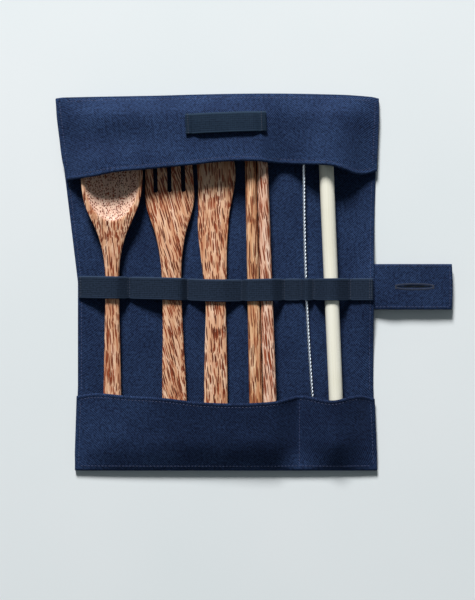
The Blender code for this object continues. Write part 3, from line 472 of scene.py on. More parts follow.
def brushHeight(y):
    # The brush lies on its bristles at one end and on the wire at the other, straight between
    wire = 2 * brush["strand"]
    share = (y - brush["tipY"] + brush["length"]) / (brush["length"] - brush["bristleLength"])
    return wire + (brush["bristle"] - wire) * share


def middleX(piece, y):
    # The x of a piece's middle line at y; the brush's wire is bent a little, as a parabola
    if "curve" in piece:
        return piece["x"] + piece["slope"] * y + piece["curve"] * y * y
    bend = through(piece["sway"], piece["tipY"] - y) if "sway" in piece else 0.0
    return piece["x"] - y * math.sin(piece["turn"]) + bend


def profile(piece, s):
    # Half width, and the heights of the underside, of the widest line and of the top
    if "strand" in piece:
        half = np.where(s < piece["bristleLength"], piece["bristle"], 2 * piece["strand"])
        middle = brushHeight(piece["tipY"] - s)
        return half, middle - half, middle, middle + half
    if "butt" in piece:
        half = piece["tip"] + (piece["butt"] - piece["tip"]) * s / piece["length"]
        return half, np.zeros_like(half), half, 2.0 * half
    tip = np.clip((piece["tipRound"] - s) / piece["tipRound"], 0.0, 1.0)
    end = np.clip((s - piece["length"] + piece["endRound"]) / piece["endRound"], 0.0, 1.0)
    half = through(piece["half"], s) * np.sqrt(1.0 - tip ** 2) * np.sqrt(1.0 - end ** 2)
    low, top = np.maximum(through(piece["low"], s), 0.0), through(piece["top"], s)
    rim = through(piece["rim"], s) if "rim" in piece else 0.5
    return half, low, low + (top - low) * rim, top


def clearOver(x, y, gap):
    # Height that cloth has to clear: the highest of the pieces' rounded sections there, grown by gap
    z = np.full(np.broadcast(x, y).shape, -1.0)
    for piece in contents:
        s, power = piece["tipY"] - y, piece["squareness"]
        half, low, rim, top = profile(piece, np.clip(s, 0.0, piece["length"]))
        t = np.clip(np.abs(x - middleX(piece, y)) / (half + gap), 0.0, 1.0)
        over = bed + rim + (top - rim + gap) * (1.0 - t ** power) ** (1 / power)
        z = np.where((s > -gap) & (s < piece["length"] + gap) & (t < 1.0), np.maximum(z, over), z)
    return z


def roomBeside(x, y):
    # How far a point is from the nearest piece, across the wrap
    room = np.full(np.broadcast(x, y).shape, 1.0)
    for piece in contents:
        s = piece["tipY"] - y
        half = profile(piece, np.clip(s, 0.0, piece["length"]))[0]
        inside = (s > -0.004) & (s < piece["length"] + 0.004)
        room = np.where(inside, np.minimum(room, np.abs(x - middleX(piece, y)) - half), room)
    return room


def toPlace(piece, points):
    # Turned about the vertical, moved across the wrap and set down on its back
    c, s = math.cos(piece["turn"]), math.sin(piece["turn"])
    x, y, z = points[..., 0], points[..., 1], points[..., 2]
    return np.stack([piece["x"] + x * c - y * s, x * s + y * c, bed + z], axis=-1)


flapEdge = mm((-120, 65), (-104, 66.2), (-91, 68.6), (-65, 71.1), (-40, 73.6), (-20, 75.7), (-6, 76.1), (12, 75.6),
              (36, 74), (48, 73), (56, 70.8), (65, 68.4), (71, 68.8), (77, 70.8))
# heights of the flap's middle surface along its free edge, and a little way from the fold
flapStand = mm((-123.5, 3.2), (-118, 5), (-112, 9.8), (-105, 14.2), (-96, 15.6), (-60, 15.8), (-25, 15.4), (-4, 15.8),
               (3, 15), (9, 10), (15, 5.6), (21, 5), (27, 7.2), (34, 11.2), (42, 14.8), (50, 15.6), (57, 12.8),
               (64, 8.4), (71, 5), (78, 3.2))
flapRidge = mm((-124, 3.4), (-112, 8), (-100, 10.8), (-50, 11.2), (-10, 11.2), (4, 9.2), (18, 8), (32, 9.2), (50, 11),
               (62, 8.4), (78, 3.4))
flapClimb = [(0.0, 0.0), (0.004, 0.34), (0.008, 0.66), (0.012, 0.90), (0.018, 1.0)]
flapWaves = [(0.00045, 0.050, 11), (0.00016, 0.016, 12)]
pocketEdge = mm((-113, -72.6), (-105, -71), (-79, -72.1), (-57, -73.2), (-35, -75.6), (-3, -76.2), (13, -75),
                (29, -72.1), (48.6, -74.5), (67, -71.7), (77.5, -74.6))
pocketRise = [(0.0, 0.0), (0.0055, 0.39), (0.0115, 0.78), (0.017, 0.96), (0.024, 1.0), (0.032, 1.0)]
pocketWaves = [(0.00045, 0.040, 21), (0.00014, 0.013, 22)]
backWaves = [(0.00045, 0.045, 4), (0.00016, 0.014, 5)]
# the flap sinks in a little at one place, and the pocket's mouth gapes between two fading ends
dent = {"depth": 0.0022, "x": -0.088, "width": 0.030, "y": 0.090, "length": 0.010}
gape = {"height": 0.0042, "startY": -0.108, "length": 0.034, "leftX": -0.090, "leftFade": 0.050, "rightX": 0.074,
        "rightFade": 0.010}
# a hem's edge is rolled up a little, and its line of stitches pulls a groove
hem = {"width": 0.0028, "step": 0.0010, "roll": 0.00018, "rollAt": 0.0010, "rollReach": 0.0008, "groove": 0.00022,
       "grooveAt": 0.0027, "grooveReach": 0.0005}
# how much lower the upper fold lies there
topLine = mm((-128, -2.6), (-98.6, -2), (-60, -1.3), (-35, -0.6), (16.6, 0), (42, -0.4), (61, -1), (74, -2), (81, -2.7))
elastic = {"width": 0.0142, "thick": 0.0010, "y": -0.0040, "inset": 0.0006,
           "stitches": [-0.0800, -0.0429, -0.0072, 0.0186, 0.0307, 0.0381, 0.0608], "ends": (-0.1112, 0.0738),
           "tent": 0.0011, "tentWidth": 0.0075, "tentNear": 0.011, "tentFar": 0.028, "step": 0.0004,
           "bow": mm((-112, 1), (-55, -0.1), (-22, -1.3), (10, -0.8), (75, -0.5))}


def sideEdges(y, overhang=0.0):
    # The x of both side edges: straight at the waist, flared towards the two folds
    up = np.clip((y - cloth["waistTop"]) / (cloth["top"] - cloth["waistTop"]), 0.0, 1.0)
    down = np.clip((cloth["waistBottom"] - y) / (cloth["waistBottom"] - cloth["bottom"]), 0.0, 1.0)
    (upLeft, upRight), (downLeft, downRight) = cloth["topFlare"], cloth["bottomFlare"]
    left = cloth["waistLeft"] - upLeft * up - downLeft * down - overhang
    return left, cloth["waistRight"] + upRight * up ** cloth["topFlareCurve"] + downRight * down + overhang


def edgeLift(x, y):
    # The right edge rises beside the tab, where the elastic pulls it
    width = cloth["edgeLiftWidth"]
    return (cloth["edgeLift"] * ease((x - sideEdges(y)[1] + width) / width)
            * hump(y, elastic["y"], cloth["edgeLiftLength"]))


def gathers(x, y):
    # The elastic pulls the back up into low tents at its seams, between the pieces, and the cloth
    # puckers away from them
    near, far = (hump(y, elastic["y"], elastic[reach]) for reach in ("tentNear", "tentFar"))
    nearBand = 0.75 * near + 0.25 * far
    pull = np.max([hump(x, seam, elastic["tentWidth"]) * nearBand for seam in elastic["stitches"]], axis=0)
    loose = np.maximum(wrinkled(x, y, backWaves) + 0.000315, 0.0)
    left, right = sideEdges(y)
    inside = ease((roomBeside(x, y) - 0.0008) / 0.006) * ease(np.minimum(x - left, right - x) / 0.006)
    return (elastic["tent"] * pull + loose * (0.35 + 0.65 * ease((np.abs(y - elastic["y"]) - 0.006) / 0.01))) * inside


def backHeight(x, y):
    # Middle surface of the back: flat on the table, with the lifted edge and the gathers added
    return flat + edgeLift(x, y) + gathers(x, y)


def tightLine(ys, anchors, reach, step=0.0005):
    # Profile of cloth that is pulled tight across the wrap, over whatever crosses these y, between
    # places where it is sewn down. It is softened a little.
    x = np.arange(anchors[0][0], anchors[-1][0], step)
    over = np.max([clearOver(x, np.full_like(x, y), cloth["drape"]) for y in ys], axis=0) + flat
    z = np.zeros_like(x)
    for (ax, az), (bx, bz) in zip(anchors, anchors[1:]):
        here = (x >= ax) & (x <= bx)
        line = np.where(over[here] > 0.0, over[here], -1.0)
        line[0], line[-1] = az, bz
        z[here] = pulledTight(x[here], line)
    return x, softened(z, step, reach)


def foldRadius(u):
    return cloth["seamRadius"] + (cloth["foldRadius"] - cloth["seamRadius"]) * (1.0 - (2.0 * u - 1.0) ** 4)


flapSides = [float(v) for v in sideEdges(0.09, cloth["flapOverhang"])]
pocketSides = [float(v) for v in sideEdges(-0.09, cloth["pocketOverhang"])]
pocketLine = tightLine([-0.070, -0.076, -0.082, -0.088],
                       [(x, layer) for x in (pocketSides[0], cloth["dividerX"], pocketSides[1])], 0.0025)


def overFold(x, sides):
    # The share of the way between the sides, and the middle surface's height where it leaves a fold
    u = np.clip((x - sides[0]) / (sides[1] - sides[0]), 0.0, 1.0)
    return u, flat + 2.0 * foldRadius(u)


def flapHeight(x, y):
    # Middle surface of the flap: a steep climb from the upper fold to a ridge, then an even rise to
    # the free edge, which stands up over the pieces and sinks in beside the chopsticks
    u, fold = overFold(x, flapSides)
    away = cloth["top"] - cloth["foldRadius"] - y
    climb = through(flapClimb, away)
    rise = np.clip((away - 0.008) / 0.037, 0.0, 1.1)
    ridge = np.maximum(through(flapRidge, x), fold)
    stand = np.maximum(through(flapStand, x), fold)
    hollow = dent["depth"] * hump(x, dent["x"], dent["width"]) * hump(y, dent["y"], dent["length"])
    wavy = wrinkled(x, y, flapWaves) * climb * ease(fromEdge(u) / 0.06)
    z = fold + (ridge - fold) * climb + (stand - ridge) * rise - hollow + wavy
    return np.maximum(z, clearOver(x, y, cloth["clear"]) + flat)


def pocketHeight(x, y):
    # Middle surface of the pocket's front: from the lower fold up over the handles to the mouth,
    # which gapes a little
    u, fold = overFold(x, pocketSides)
    over = np.maximum(np.interp(x, *pocketLine), layer)
    rise = through(pocketRise, y - cloth["bottom"] - cloth["foldRadius"])
    sewn = 1.0 - hump(x, cloth["dividerX"], 0.006)
    wavy = wrinkled(x, y, pocketWaves) * rise * sewn * ease(fromEdge(u) / 0.05)
    mouth = gape["height"] * np.clip((y - gape["startY"]) / gape["length"], 0.0, 1.1) * (0.5 + 0.5 * sewn)
    mouth = mouth * ease((x - gape["leftX"]) / gape["leftFade"]) * ease((gape["rightX"] - x) / gape["rightFade"])
    return np.maximum(fold + (over - fold) * rise + mouth + wavy, clearOver(x, y, cloth["clear"]) + flat)


def hemHalf(distance):
    # Half thickness near a hem: a rolled edge, a groove where it is stitched, then flat cloth
    half = flat + cloth["hemExtra"] / 2 * (1.0 - ease((distance - hem["width"]) / hem["step"]))
    return (half + hem["roll"] * hump(distance, hem["rollAt"], hem["rollReach"])
            - hem["groove"] * hump(distance, hem["grooveAt"], hem["grooveReach"]))


def hemSteps(length, count):
    # Shares of the way from a hem's edge, close together in the hem
    edge = np.concatenate([roundSteps * 0.0008, np.linspace(0.0011, 0.0040, 12)])
    return np.concatenate([edge, np.linspace(0.0040, length, count)[1:]])[:, None] / length


def wrapRows(mat):
    # The wrap is one strip on a grid: pocket from its mouth down, lower fold, back, upper fold, and
    # flap down to its free edge. Across, each row runs from one side edge to the other.
    u = acrossSteps(0.192, flat, cloth["columns"])

    def across(y):
        left, right = sideEdges(y)
        return left + (right - left) * u

    def rowsOf(y, height, overhang=0.0, half=flat, drawn=0.0):
        # y is a grid; the x of each point follows from its own y
        left, right = sideEdges(y, overhang)
        x = left + drawn + (right - left - drawn) * u
        z = height(x, y) if callable(height) else height
        return np.stack([x, y, z], axis=2), np.broadcast_to(half, y.shape)

    def foldRows(edge, way):
        # Half a turn round a fold: way is 1 at the top and -1 at the bottom
        a = np.radians(np.linspace(90, -90, 13))[1:-1, None]
        return rowsOf(edge + way * radius * np.cos(a), flat + radius * (1.0 - way * np.sin(a)))

    radius = foldRadius(u)
    xTop = across(np.full(len(u), cloth["top"]))
    corner = cloth["cornerRound"] * (1.0 - ease(fromEdge(u) * (xTop[-1] - xTop[0]) / 0.005))
    topY = cloth["top"] - radius - flat + through(topLine, xTop) - corner
    bottomY = cloth["bottom"] + radius + flat
    mouth, free = through(pocketEdge, across(-0.075)), through(flapEdge, across(0.072))
    fromMouth, fromFree = hemSteps(0.045, 36), hemSteps(0.048, 42)[::-1]
    pocketY = mouth + (bottomY - mouth) * fromMouth
    flapY = free + (topY - free) * fromFree
    parts = [rowsOf(pocketY, pocketHeight, cloth["pocketOverhang"] * ease(4.0 * (1.0 - fromMouth)),
                    roundEdge(mouth - pocketY, hemHalf(mouth - pocketY))),
             foldRows(bottomY, -1),
             rowsOf(bottomY + (topY - bottomY) * np.linspace(0.0, 1.0, 118)[:, None], backHeight),
             foldRows(topY, 1),
             rowsOf(flapY, flapHeight, cloth["flapOverhang"] * ease(4.0 * (1.0 - fromFree)),
                    roundEdge(flapY - free, hemHalf(flapY - free)), 0.0016 * hump(flapY, 0.066, 0.009))]
    middle, half = (np.concatenate(part) for part in zip(*parts))
    width = middle[:, -1:, 0] - middle[:, :1, 0]
    half = np.minimum(half, roundEdge(fromEdge(u)[None, :] * width, np.maximum(half, 0.0001)))
    return clothShell("wrapCloth", middle, half, mat)


def paintShadeTone(obj):
    # A tone for each point, which the twill reads as painted shade. The pocket's front is darkened in its
    # middle and right, where it slopes away from the light. The back below the elastic is darker than the
    # flap and the upper back, which are left as they are.
    points = np.empty(len(obj.data.vertices) * 3, np.float32)
    obj.data.vertices.foreach_get("co", points)
    x, y, z = points.reshape(-1, 3).T
    front = (z > 0.0022) & (y < -0.06)
    pocket = 1.0 - 0.75 * ease((x + 0.095) / 0.055) * ease((y + 0.120) / 0.020)
    # painted shade: 1 leaves the twill as it is, lower values darken it
    addValues(obj, "faded", np.where(front, pocket, 0.78 + 0.22 * ease((y + 0.020) / 0.020)))


# The real twill's rib is 0.8 mm. It is drawn 1.2 mm wide, as a finer one would fall between the pixels.
navyTwill = material("navyWovenTwill", wovenTwill, {
    "slant": 52.0, "warp": {"Scale": perWave(0.0012), "Distortion": 2.0, "Detail": 2.0, "Detail Scale": 1.4},
    "weft": {"Scale": perWave(0.00096), "Distortion": 2.2, "Detail": 2.0}, "fuzz": {"Scale": 620.0, "Roughness": 0.6},
    "warpShare": 0.5, "depth": 0.36, "bump": 0.5, "rough": 0.85, "sheen": 0.10, "tint": "#7388C4",
    "stops": [(0.50, "#10182C"), (0.72, "#1A2744"), (0.94, "#33496F")]})
navyThread = material("navySewingThread", sewingThread, "#37436C")
tapeThread = material("darkSewingThread", sewingThread, "#222C40")
wrapCloth = wrapRows(navyTwill)
paintShadeTone(wrapCloth)
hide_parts("wrap_cloth")
print("wrap cloth made:", len(wrapCloth.data.polygons), "faces")

# how far inside its edge each line of the wrap's stitches runs
seams = {"fold": 0.0031, "free": 0.0028, "flapSide": 0.0030, "pocketSide": 0.0028, "backSide": 0.0024,
         "mouth": 0.0026, "bottom": 0.0032}


def seamLines():
    # The wrap's topstitching: round the flap, round the pocket and along both sides of the back
    def on(surface, x, y):
        return lineOfStitches(x, y, lambda x, y: surface(x, y) + flat)

    x = np.linspace(flapSides[0] + 0.0045, flapSides[1] - 0.0045, 300)
    lines = [on(flapHeight, x, cloth["top"] - seams["fold"] + through(topLine, x))]
    x = np.linspace(-0.1150, 0.0745, 300)
    lines.append(on(flapHeight, x, through(flapEdge, x) + seams["free"]))
    for side, sign in ((0, 1.0), (1, -1.0)):
        y = np.linspace(0.0740, 0.1150, 60)
        lines.append(on(flapHeight, sideEdges(y, cloth["flapOverhang"])[side] + sign * seams["flapSide"], y))
        y = np.linspace(-0.1160, -0.0770, 60)
        lines.append(on(pocketHeight, sideEdges(y, cloth["pocketOverhang"])[side] + sign * seams["pocketSide"], y))
        y = np.linspace(-0.0690, 0.0640, 200)
        y = y[np.abs(y - elastic["y"]) > elastic["width"] / 2 + 0.001] if side == 0 else y
        for part in np.split(y, np.where(np.diff(y) > 0.004)[0] + 1):
            lines.append(on(backHeight, sideEdges(part)[side] + sign * seams["backSide"], part))
    x = np.linspace(-0.1110, 0.0740, 300)
    lines.append(on(pocketHeight, x, through(pocketEdge, x) - seams["mouth"]))
    lines.append(on(pocketHeight, x, cloth["bottom"] + seams["bottom"]))
    return [*lines, on(pocketHeight, cloth["dividerX"], np.linspace(-0.0765, -0.1165, 60))]


topstitching = addStitches("wrapTopstitching", seamLines(), navyThread)


def elasticHeight(x, y):
    # The band's middle surface: sewn to the back at its seams, pulled tight over the pieces between
    step, inset, half = elastic["step"], elastic["inset"], elastic["thick"] / 2
    left, right = (float(v) for v in sideEdges(elastic["y"]))
    line = np.arange(left + inset, right - inset + step / 2, step)
    here = np.full_like(line, elastic["y"])
    seat = bed + half + edgeLift(line, here) * 1.05 + gathers(line, here)
    over = np.max([clearOver(line, here + dy, cloth["drape"]) for dy in (-0.0071, 0.0, 0.0071)], axis=0) + half
    z = np.zeros_like(line)
    stops = [line[0], *elastic["stitches"], line[-1]]
    for a, b in zip(stops, stops[1:]):
        span = (line >= a - 0.0003) & (line <= b + 0.0003)
        part = np.maximum(over[span], -1.0)
        part[0], part[-1] = seat[span][0], seat[span][-1]
        z[span] = pulledTight(line[span], part)
    z = np.maximum(softened(z, step, 0.0010), seat)
    return np.maximum(np.interp(x, line, z), clearOver(x, y, 0.0004) + half)


def elasticBand(mat):
    # Its edges wander a little and draw in at the seams
    left, right = sideEdges(elastic["y"])
    width, half = elastic["width"], elastic["thick"] / 2
    x = np.linspace(left + elastic["inset"], right - elastic["inset"], 330)
    v = acrossSteps(width, half, 16)[:, None]
    seam = np.max([hump(x, s, 0.0016) for s in elastic["stitches"]], axis=0)
    narrow = 0.00035 * seam + 0.00012 * ripple(x, np.zeros_like(x), 0.02, 31)
    y = elastic["y"] + through(elastic["bow"], x) + (v - 0.5) * (width - 2 * narrow)
    grid = np.broadcast_to(x, y.shape)
    cord = 0.0001 * hump(fromEdge(v) * width, 0.0012, 0.0004)
    edge = np.minimum(fromEdge(v) * width, np.minimum(x - x[0], x[-1] - x))
    return clothShell("elasticBand", np.stack([grid, y, elasticHeight(grid, y)], axis=2),
                      roundEdge(edge, np.broadcast_to(half + cord, y.shape)), mat)


tape = {"weft": {"Scale": perWave(0.0012), "Distortion": 0.8}, "fuzz": {"Scale": 800.0}, "warpShare": 0.6,
        "depth": 0.3, "bump": 0.35, "rough": 0.8, "sheen": 0.03, "tint": "#8795A6"}
elasticTape = material("ribbedWovenElastic", wovenTape, {
    **tape, "warp": {"Scale": perWave(0.0011), "Distortion": 1.0, "Detail": 1.0}, "width": elastic["width"],
    "stops": [(0.4, "#111A26"), (0.95, "#253143")], "selvedge": "#34435A", "paler": 0.7})
elasticStrap = elasticBand(elasticTape)
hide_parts("elastic_band")
columns = []
for seamX in [elastic["ends"][0], *elastic["stitches"], elastic["ends"][1]]:
    y = elastic["y"] + through(elastic["bow"], seamX) + np.linspace(-0.5, 0.5, 20) * (elastic["width"] - 0.0012)
    columns += [lineOfStitches(seamX + shift, y, lambda x, y: elasticHeight(x, y) + elastic["thick"] / 2, 0.0019)
                for shift in (-0.0006, 0.0006)]
elasticStitches = addStitches("elasticStitches", columns, tapeThread, length=0.0015)
print("elastic made")

loop = {"length": 0.0512, "width": 0.0130, "thick": 0.0011, "x": -0.0179, "y": 0.1006, "turn": 0.043, "sewn": 0.0042,
        "rise": 0.0012, "seatGap": 0.00015, "fold": 0.00035}


def loopPoint(along, side):
    # A point of the loop's middle surface: on the flap at its sewn ends, standing off it between
    x = loop["x"] + along * math.cos(loop["turn"]) - side * math.sin(loop["turn"])
    y = loop["y"] + along * math.sin(loop["turn"]) + side * math.cos(loop["turn"])
    slope = (flapHeight(x, y - 0.0005) - flapHeight(x, y + 0.0005)) / 0.001
    seat = (cloth["thick"] + loop["thick"]) / 2 * np.sqrt(1.0 + slope ** 2) + cloth["gap"] + loop["seatGap"]
    rise = loop["rise"] * ease(((loop["length"] / 2 - np.abs(along)) / loop["sewn"] - 1.0) / 1.2)
    return np.stack([x, y, flapHeight(x, y) + seat + rise], axis=-1)


def carryLoop(mat):
    # A strip of webbing, its ends turned under
    u = acrossSteps(loop["length"], loop["thick"] / 2, 90)[None, :]
    v = acrossSteps(loop["width"], loop["thick"] / 2, 22)[:, None]
    middle = loopPoint(*np.broadcast_arrays((u - 0.5) * loop["length"], (v - 0.5) * loop["width"]))
    fromEnd = fromEdge(u) * loop["length"]
    doubled = loop["fold"] * (1.0 - ease((fromEnd - 0.0033) / 0.0006))
    middle[..., 2] += doubled
    half = np.broadcast_to(loop["thick"] / 2 + doubled, middle.shape[:2])
    return clothShell("carryLoop", middle, roundEdge(np.minimum(fromEnd, fromEdge(v) * loop["width"]), half), mat)


loopTape = material("ribbedWovenWebbing", wovenTape, {
    **tape, "warp": {"Scale": perWave(0.0012), "Distortion": 1.0, "Detail": 1.0},
    "weft": {"Scale": perWave(0.0014), "Distortion": 0.8}, "width": loop["width"],
    "stops": [(0.4, "#101B2A"), (0.95, "#1D2C3D")], "selvedge": "#2E4053", "paler": 0.6})
loopStrap = carryLoop(loopTape)
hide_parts("carry_loop")
loopSeams = []
for along in (-loop["length"] / 2 + 0.0017, loop["length"] / 2 - 0.0031):
    side = np.linspace(-0.5, 0.5, 8) * (loop["width"] - 0.0016)
    middle = loopPoint(np.full_like(side, along), side)
    middle[:, 2] += loop["thick"] / 2 + 0.0007
    loopSeams.append((middle, np.gradient(middle, axis=0)))
loopStitches = addStitches("loopStitches", loopSeams, tapeThread, length=0.0015)

tab = {"length": 0.0504, "width": 0.0291, "thick": 0.0019, "y": -0.0029, "tuck": 0.0040, "seatGap": 0.0002,
       "droop": 0.0004, "holeLength": 0.0215, "holeWidth": 0.0011, "holeX": 0.0260, "seam": 0.0018}
tabStart = cloth["waistRight"]


def tabHeight(x, y):
    # Middle surface of the tab: under the cloth's raised edge, then out level with it, sagging a
    # little towards its free end
    drop = cloth["gap"] + tab["seatGap"] + tab["thick"] / 2
    under = edgeLift(np.minimum(x, tabStart), y) - drop
    t = (x - tabStart) / tab["length"]
    free = cloth["edgeLift"] - drop - tab["droop"] * ease(t) + 0.0002 * ripple(x, y, 0.02, 41) * ease(t * 3.0)
    return under + (free - under) * ease((x - tabStart) / 0.012)


def tabTop(x, y):
    return tabHeight(x, y) + tab["thick"] / 2


def closingTab(mat):
    # A double strip of twill with a stitched rim, its free end bowed a little
    start, length = tabStart - tab["tuck"], tab["tuck"] + tab["length"]
    u = acrossSteps(length, tab["thick"] / 2, 84)[None, :]
    v = acrossSteps(tab["width"], tab["thick"] / 2, 32)[:, None]
    x = start + length * u
    x = x - 0.0005 * (2.0 * v - 1.0) ** 2 * ease((x - tabStart) / tab["length"])
    y = np.broadcast_to(tab["y"] + (v - 0.5) * tab["width"], x.shape)
    edge = np.minimum(fromEdge(v) * tab["width"], fromEdge(u) * length)
    puff = 0.00012 * hump(edge, 0.0012, 0.0010) - 0.00018 * hump(edge, 0.0021, 0.0005)
    middle = np.stack([x, y, tabHeight(x, y)], axis=2)
    return clothShell("closingTab", middle, roundEdge(edge, tab["thick"] / 2 + puff), mat)


def cutThrough(obj, cutters):
    # Takes each cutter's shape out of obj, and puts the result into its mesh
    for cutter in cutters:
        step = obj.modifiers.new("cut", "BOOLEAN")
        step.operation, step.solver, step.object = "DIFFERENCE", "EXACT", cutter
    bpy.context.view_layer.update()
    made = bpy.data.meshes.new_from_object(obj.evaluated_get(bpy.context.evaluated_depsgraph_get()))
    obj.modifiers.clear()
    obj.data = made
    for cutter in cutters:
        bpy.data.objects.remove(cutter, do_unlink=True)


def upright(name, outline, low, high, mat):
    # A prism over an outline in x and y
    rings = np.stack([np.column_stack([outline, np.full(len(outline), z)]) for z in (low, high)])
    return addMesh(name, *skin(rings), mat)


closingTabPiece = closingTab(navyTwill)
paintShadeTone(closingTabPiece)
holeX, holeY = tabStart + tab["holeX"], tab["y"]
angle = circle(40)
spindle = np.stack([holeX + tab["holeLength"] / 2 * np.cos(angle),
                    holeY + tab["holeWidth"] / 2 * np.sin(angle)], axis=1)
cutThrough(closingTabPiece, [upright("holeCutter", spindle, -0.004, 0.012, navyTwill)])
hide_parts("closing_tab")

inset = tab["width"] / 2 - tab["seam"]
leftX, rightX = tabStart + 0.001, tabStart + tab["length"] - 0.0021
tabLines = [((rightX, rightX + 0.0004, rightX), (holeY - inset, holeY, holeY + inset)),
            ((leftX, rightX), holeY - inset), ((leftX, rightX), holeY + inset + 0.0004)]
tabStitches = addStitches("tabTopstitching", [lineOfStitches(x, y, tabTop) for x, y in tabLines], navyThread)

# the buttonhole's close stitches stand side by side along both lips, shorter towards its ends
lip = np.linspace(-0.98, 0.98, 46)
lips = []
for side in (1.0, -1.0):
    x = holeX + lip * (tab["holeLength"] / 2 + 0.0008)
    y = holeY + side * (0.0006 + 0.0011 * np.sqrt(1.0 - lip ** 2))
    lips.append((np.stack([x, y, tabTop(x, y) - 0.00002], axis=1), np.tile([0.18 * side, 1.0, 0.0], (len(x), 1))))
for end in (-1.0, 1.0):
    y = holeY + np.linspace(-0.0011, 0.0011, 6)
    x = np.full_like(y, holeX + end * (tab["holeLength"] / 2 + 0.0012))
    lips.append((np.stack([x, y, tabTop(x, y)], axis=1), np.tile([1.0, 0.0, 0.0], (len(x), 1))))
holeStitches = addStitches("buttonholeStitches", lips, tapeThread, length=0.0016, radius=0.00022)
print("loop and tab made")


def carved(name, piece, count, size, mat):
    # Sections of a carved piece: superellipses, |x|^n + |z|^n = 1, flatter or fuller by squareness,
    # that run out to a round tip and end
    end = piece["length"]
    tipRound, endRound = piece.get("tipRound", 0.002), piece.get("endRound", 0.002)
    s = np.concatenate([tipRound * (1.0 - np.cos(np.linspace(0.04, math.pi / 2, 26))),
                        np.linspace(tipRound, end - endRound, count)[1:-1],
                        end - endRound * (1.0 - np.cos(np.linspace(math.pi / 2, 0.06, 18)))])
    half, low, rim, top = (v[:, None] for v in profile(piece, s))
    blunt = np.sqrt(1.0 - np.clip(1.0 - np.minimum(s, end - s) / 0.0016, 0.0, 1.0) ** 2)[:, None]
    if "butt" in piece:
        half = half * (0.45 + 0.55 * blunt)
        low, top = rim - half, rim + half
        power = (2.0 + (piece["squareness"] - 2.0) * ease(s / piece["squareFrom"]))[:, None]
    else:
        power = piece["squareness"]
    angle = circle(size)[None, :]
    c, d = np.cos(angle), np.sin(angle)
    high = np.sign(d) * (1.0 - np.abs(c) ** power) ** (1 / power)
    sway = through(piece["sway"], s)[:, None] if "sway" in piece else 0.0
    thick = np.where(d >= 0, top - rim, rim - low) * (0.55 + 0.45 * blunt if "butt" not in piece else 1.0)
    x, z = half * c + sway, rim + thick * high
    y = np.broadcast_to((piece["tipY"] - s)[:, None], x.shape)
    depth = np.zeros(x.shape)
    if "bowlDepth" in piece:
        # the hollow: depth times (1 - across^2 - along^2)^0.8, on the upper side only
        reach = ((s - piece["bowlMiddle"]) / piece["bowlHalfLength"])[:, None]
        across = x / (half.max() - piece["bowlLip"])
        depth = np.where(high > 1e-6, np.clip(1.0 - across ** 2 - reach ** 2, 0.0, 1.0) ** 0.8, 0.0)
        z = z - piece["bowlDepth"] * depth
    # the carver's slight unevenness, on the upper side only
    z = z - np.where(high > 0.5, 0.00010 * (ripple(x, y, 0.018, 51) + 1.0), 0.0)
    obj = addMesh(name, *skin(toPlace(piece, np.stack([x, y, z], axis=2))), mat)
    # how far each point lies in the hollow, for the grain and the painted highlight: 0 on the rim, 1 a little way in
    addValues(obj, "hollow", np.concatenate([ease(depth.ravel() * 6.0), [0.0, 0.0]]))
    return obj


# a fibre bundle is about 0.6 mm thick, and a fleck of it several millimetres long
palm = {"slant": 2.0, "dive": 3.0, "shift": (0.0, 0.0, 0.0), "thick": 0.00080, "fleck": 0.0110, "fill": 0.36,
        "streak": 0.30, "rusty": 0.55, "sway": 0.0019, "pith": ("#C98D68", "#E4B490", "#F2CDB0"), "rust": "#AC5A38",
        "bundle": ("#54200E", "#914426")}
spoonWood = material("palmWoodSpoon", palmWood, {**palm, "fleck": 0.0130, "fill": 0.35, "streak": 0.32})
forkWood = material("palmWoodFork", palmWood, {**palm, "slant": 15.0, "shift": (0.3, 0.1, 0.2), "fill": 0.37})
knifeWood = material("palmWoodKnife", palmWood, {
    **palm, "slant": 4.0, "shift": (0.7, 0.4, 0.1), "thick": 0.00090, "fleck": 0.0084, "fill": 0.345, "streak": 0.24})
leftStickWood = material("palmWoodStickLeft", palmWood, {
    **palm, "shift": (0.2, 0.9, 0.3), "fleck": 0.0170, "fill": 0.37, "streak": 0.33,
    "pith": ("#C4865A", "#DDAC82", "#EDCAA6"), "bundle": ("#54200E", "#8C4A2C")})
rightStickWood = material("palmWoodStickRight", palmWood, {
    **palm, "slant": 7.0, "shift": (0.5, 0.2, 0.8), "fleck": 0.0140, "fill": 0.34,
    "pith": ("#D29C7E", "#E9C0A6", "#F4D6C2")})

spoonPiece = carved("carvedSpoon", spoon, 150, 96, spoonWood)
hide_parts("spoon")
knifePiece = carved("carvedKnife", knife, 130, 64, knifeWood)
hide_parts("knife")
forkPiece = carved("carvedFork", fork, 130, 72, forkWood)
slots = []
for k in (-1, 0, 1):
    # a slot is open at the tips and round at its inner end
    angle = np.linspace(math.pi, 2 * math.pi, 15)
    middle, r, past = k * fork["slotSpacing"], fork["slotWidth"] / 2, fork["tipY"] + 0.01
    inner = np.stack([middle + r * np.cos(angle), fork["tipY"] - fork["slotDepth"] + r + r * np.sin(angle)], axis=1)
    outline = np.concatenate([inner, [[middle + r, past], [middle - r, past]]])
    outline = toPlace(fork, np.column_stack([outline, np.zeros(len(outline))]))[:, :2]
    slots.append(upright(f"slotCutter{k + 2}", outline, -0.005, 0.02, forkWood))
cutThrough(forkPiece, slots)
forkPiece.data.set_sharp_from_angle(angle=math.radians(40))
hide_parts("fork")
leftStick = carved("chopstickLeft", stickLeft, 90, 40, leftStickWood)
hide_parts("chopstick_left")
rightStick = carved("chopstickRight", stickRight, 90, 40, rightStickWood)
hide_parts("chopstick_right")
print("wooden pieces made")


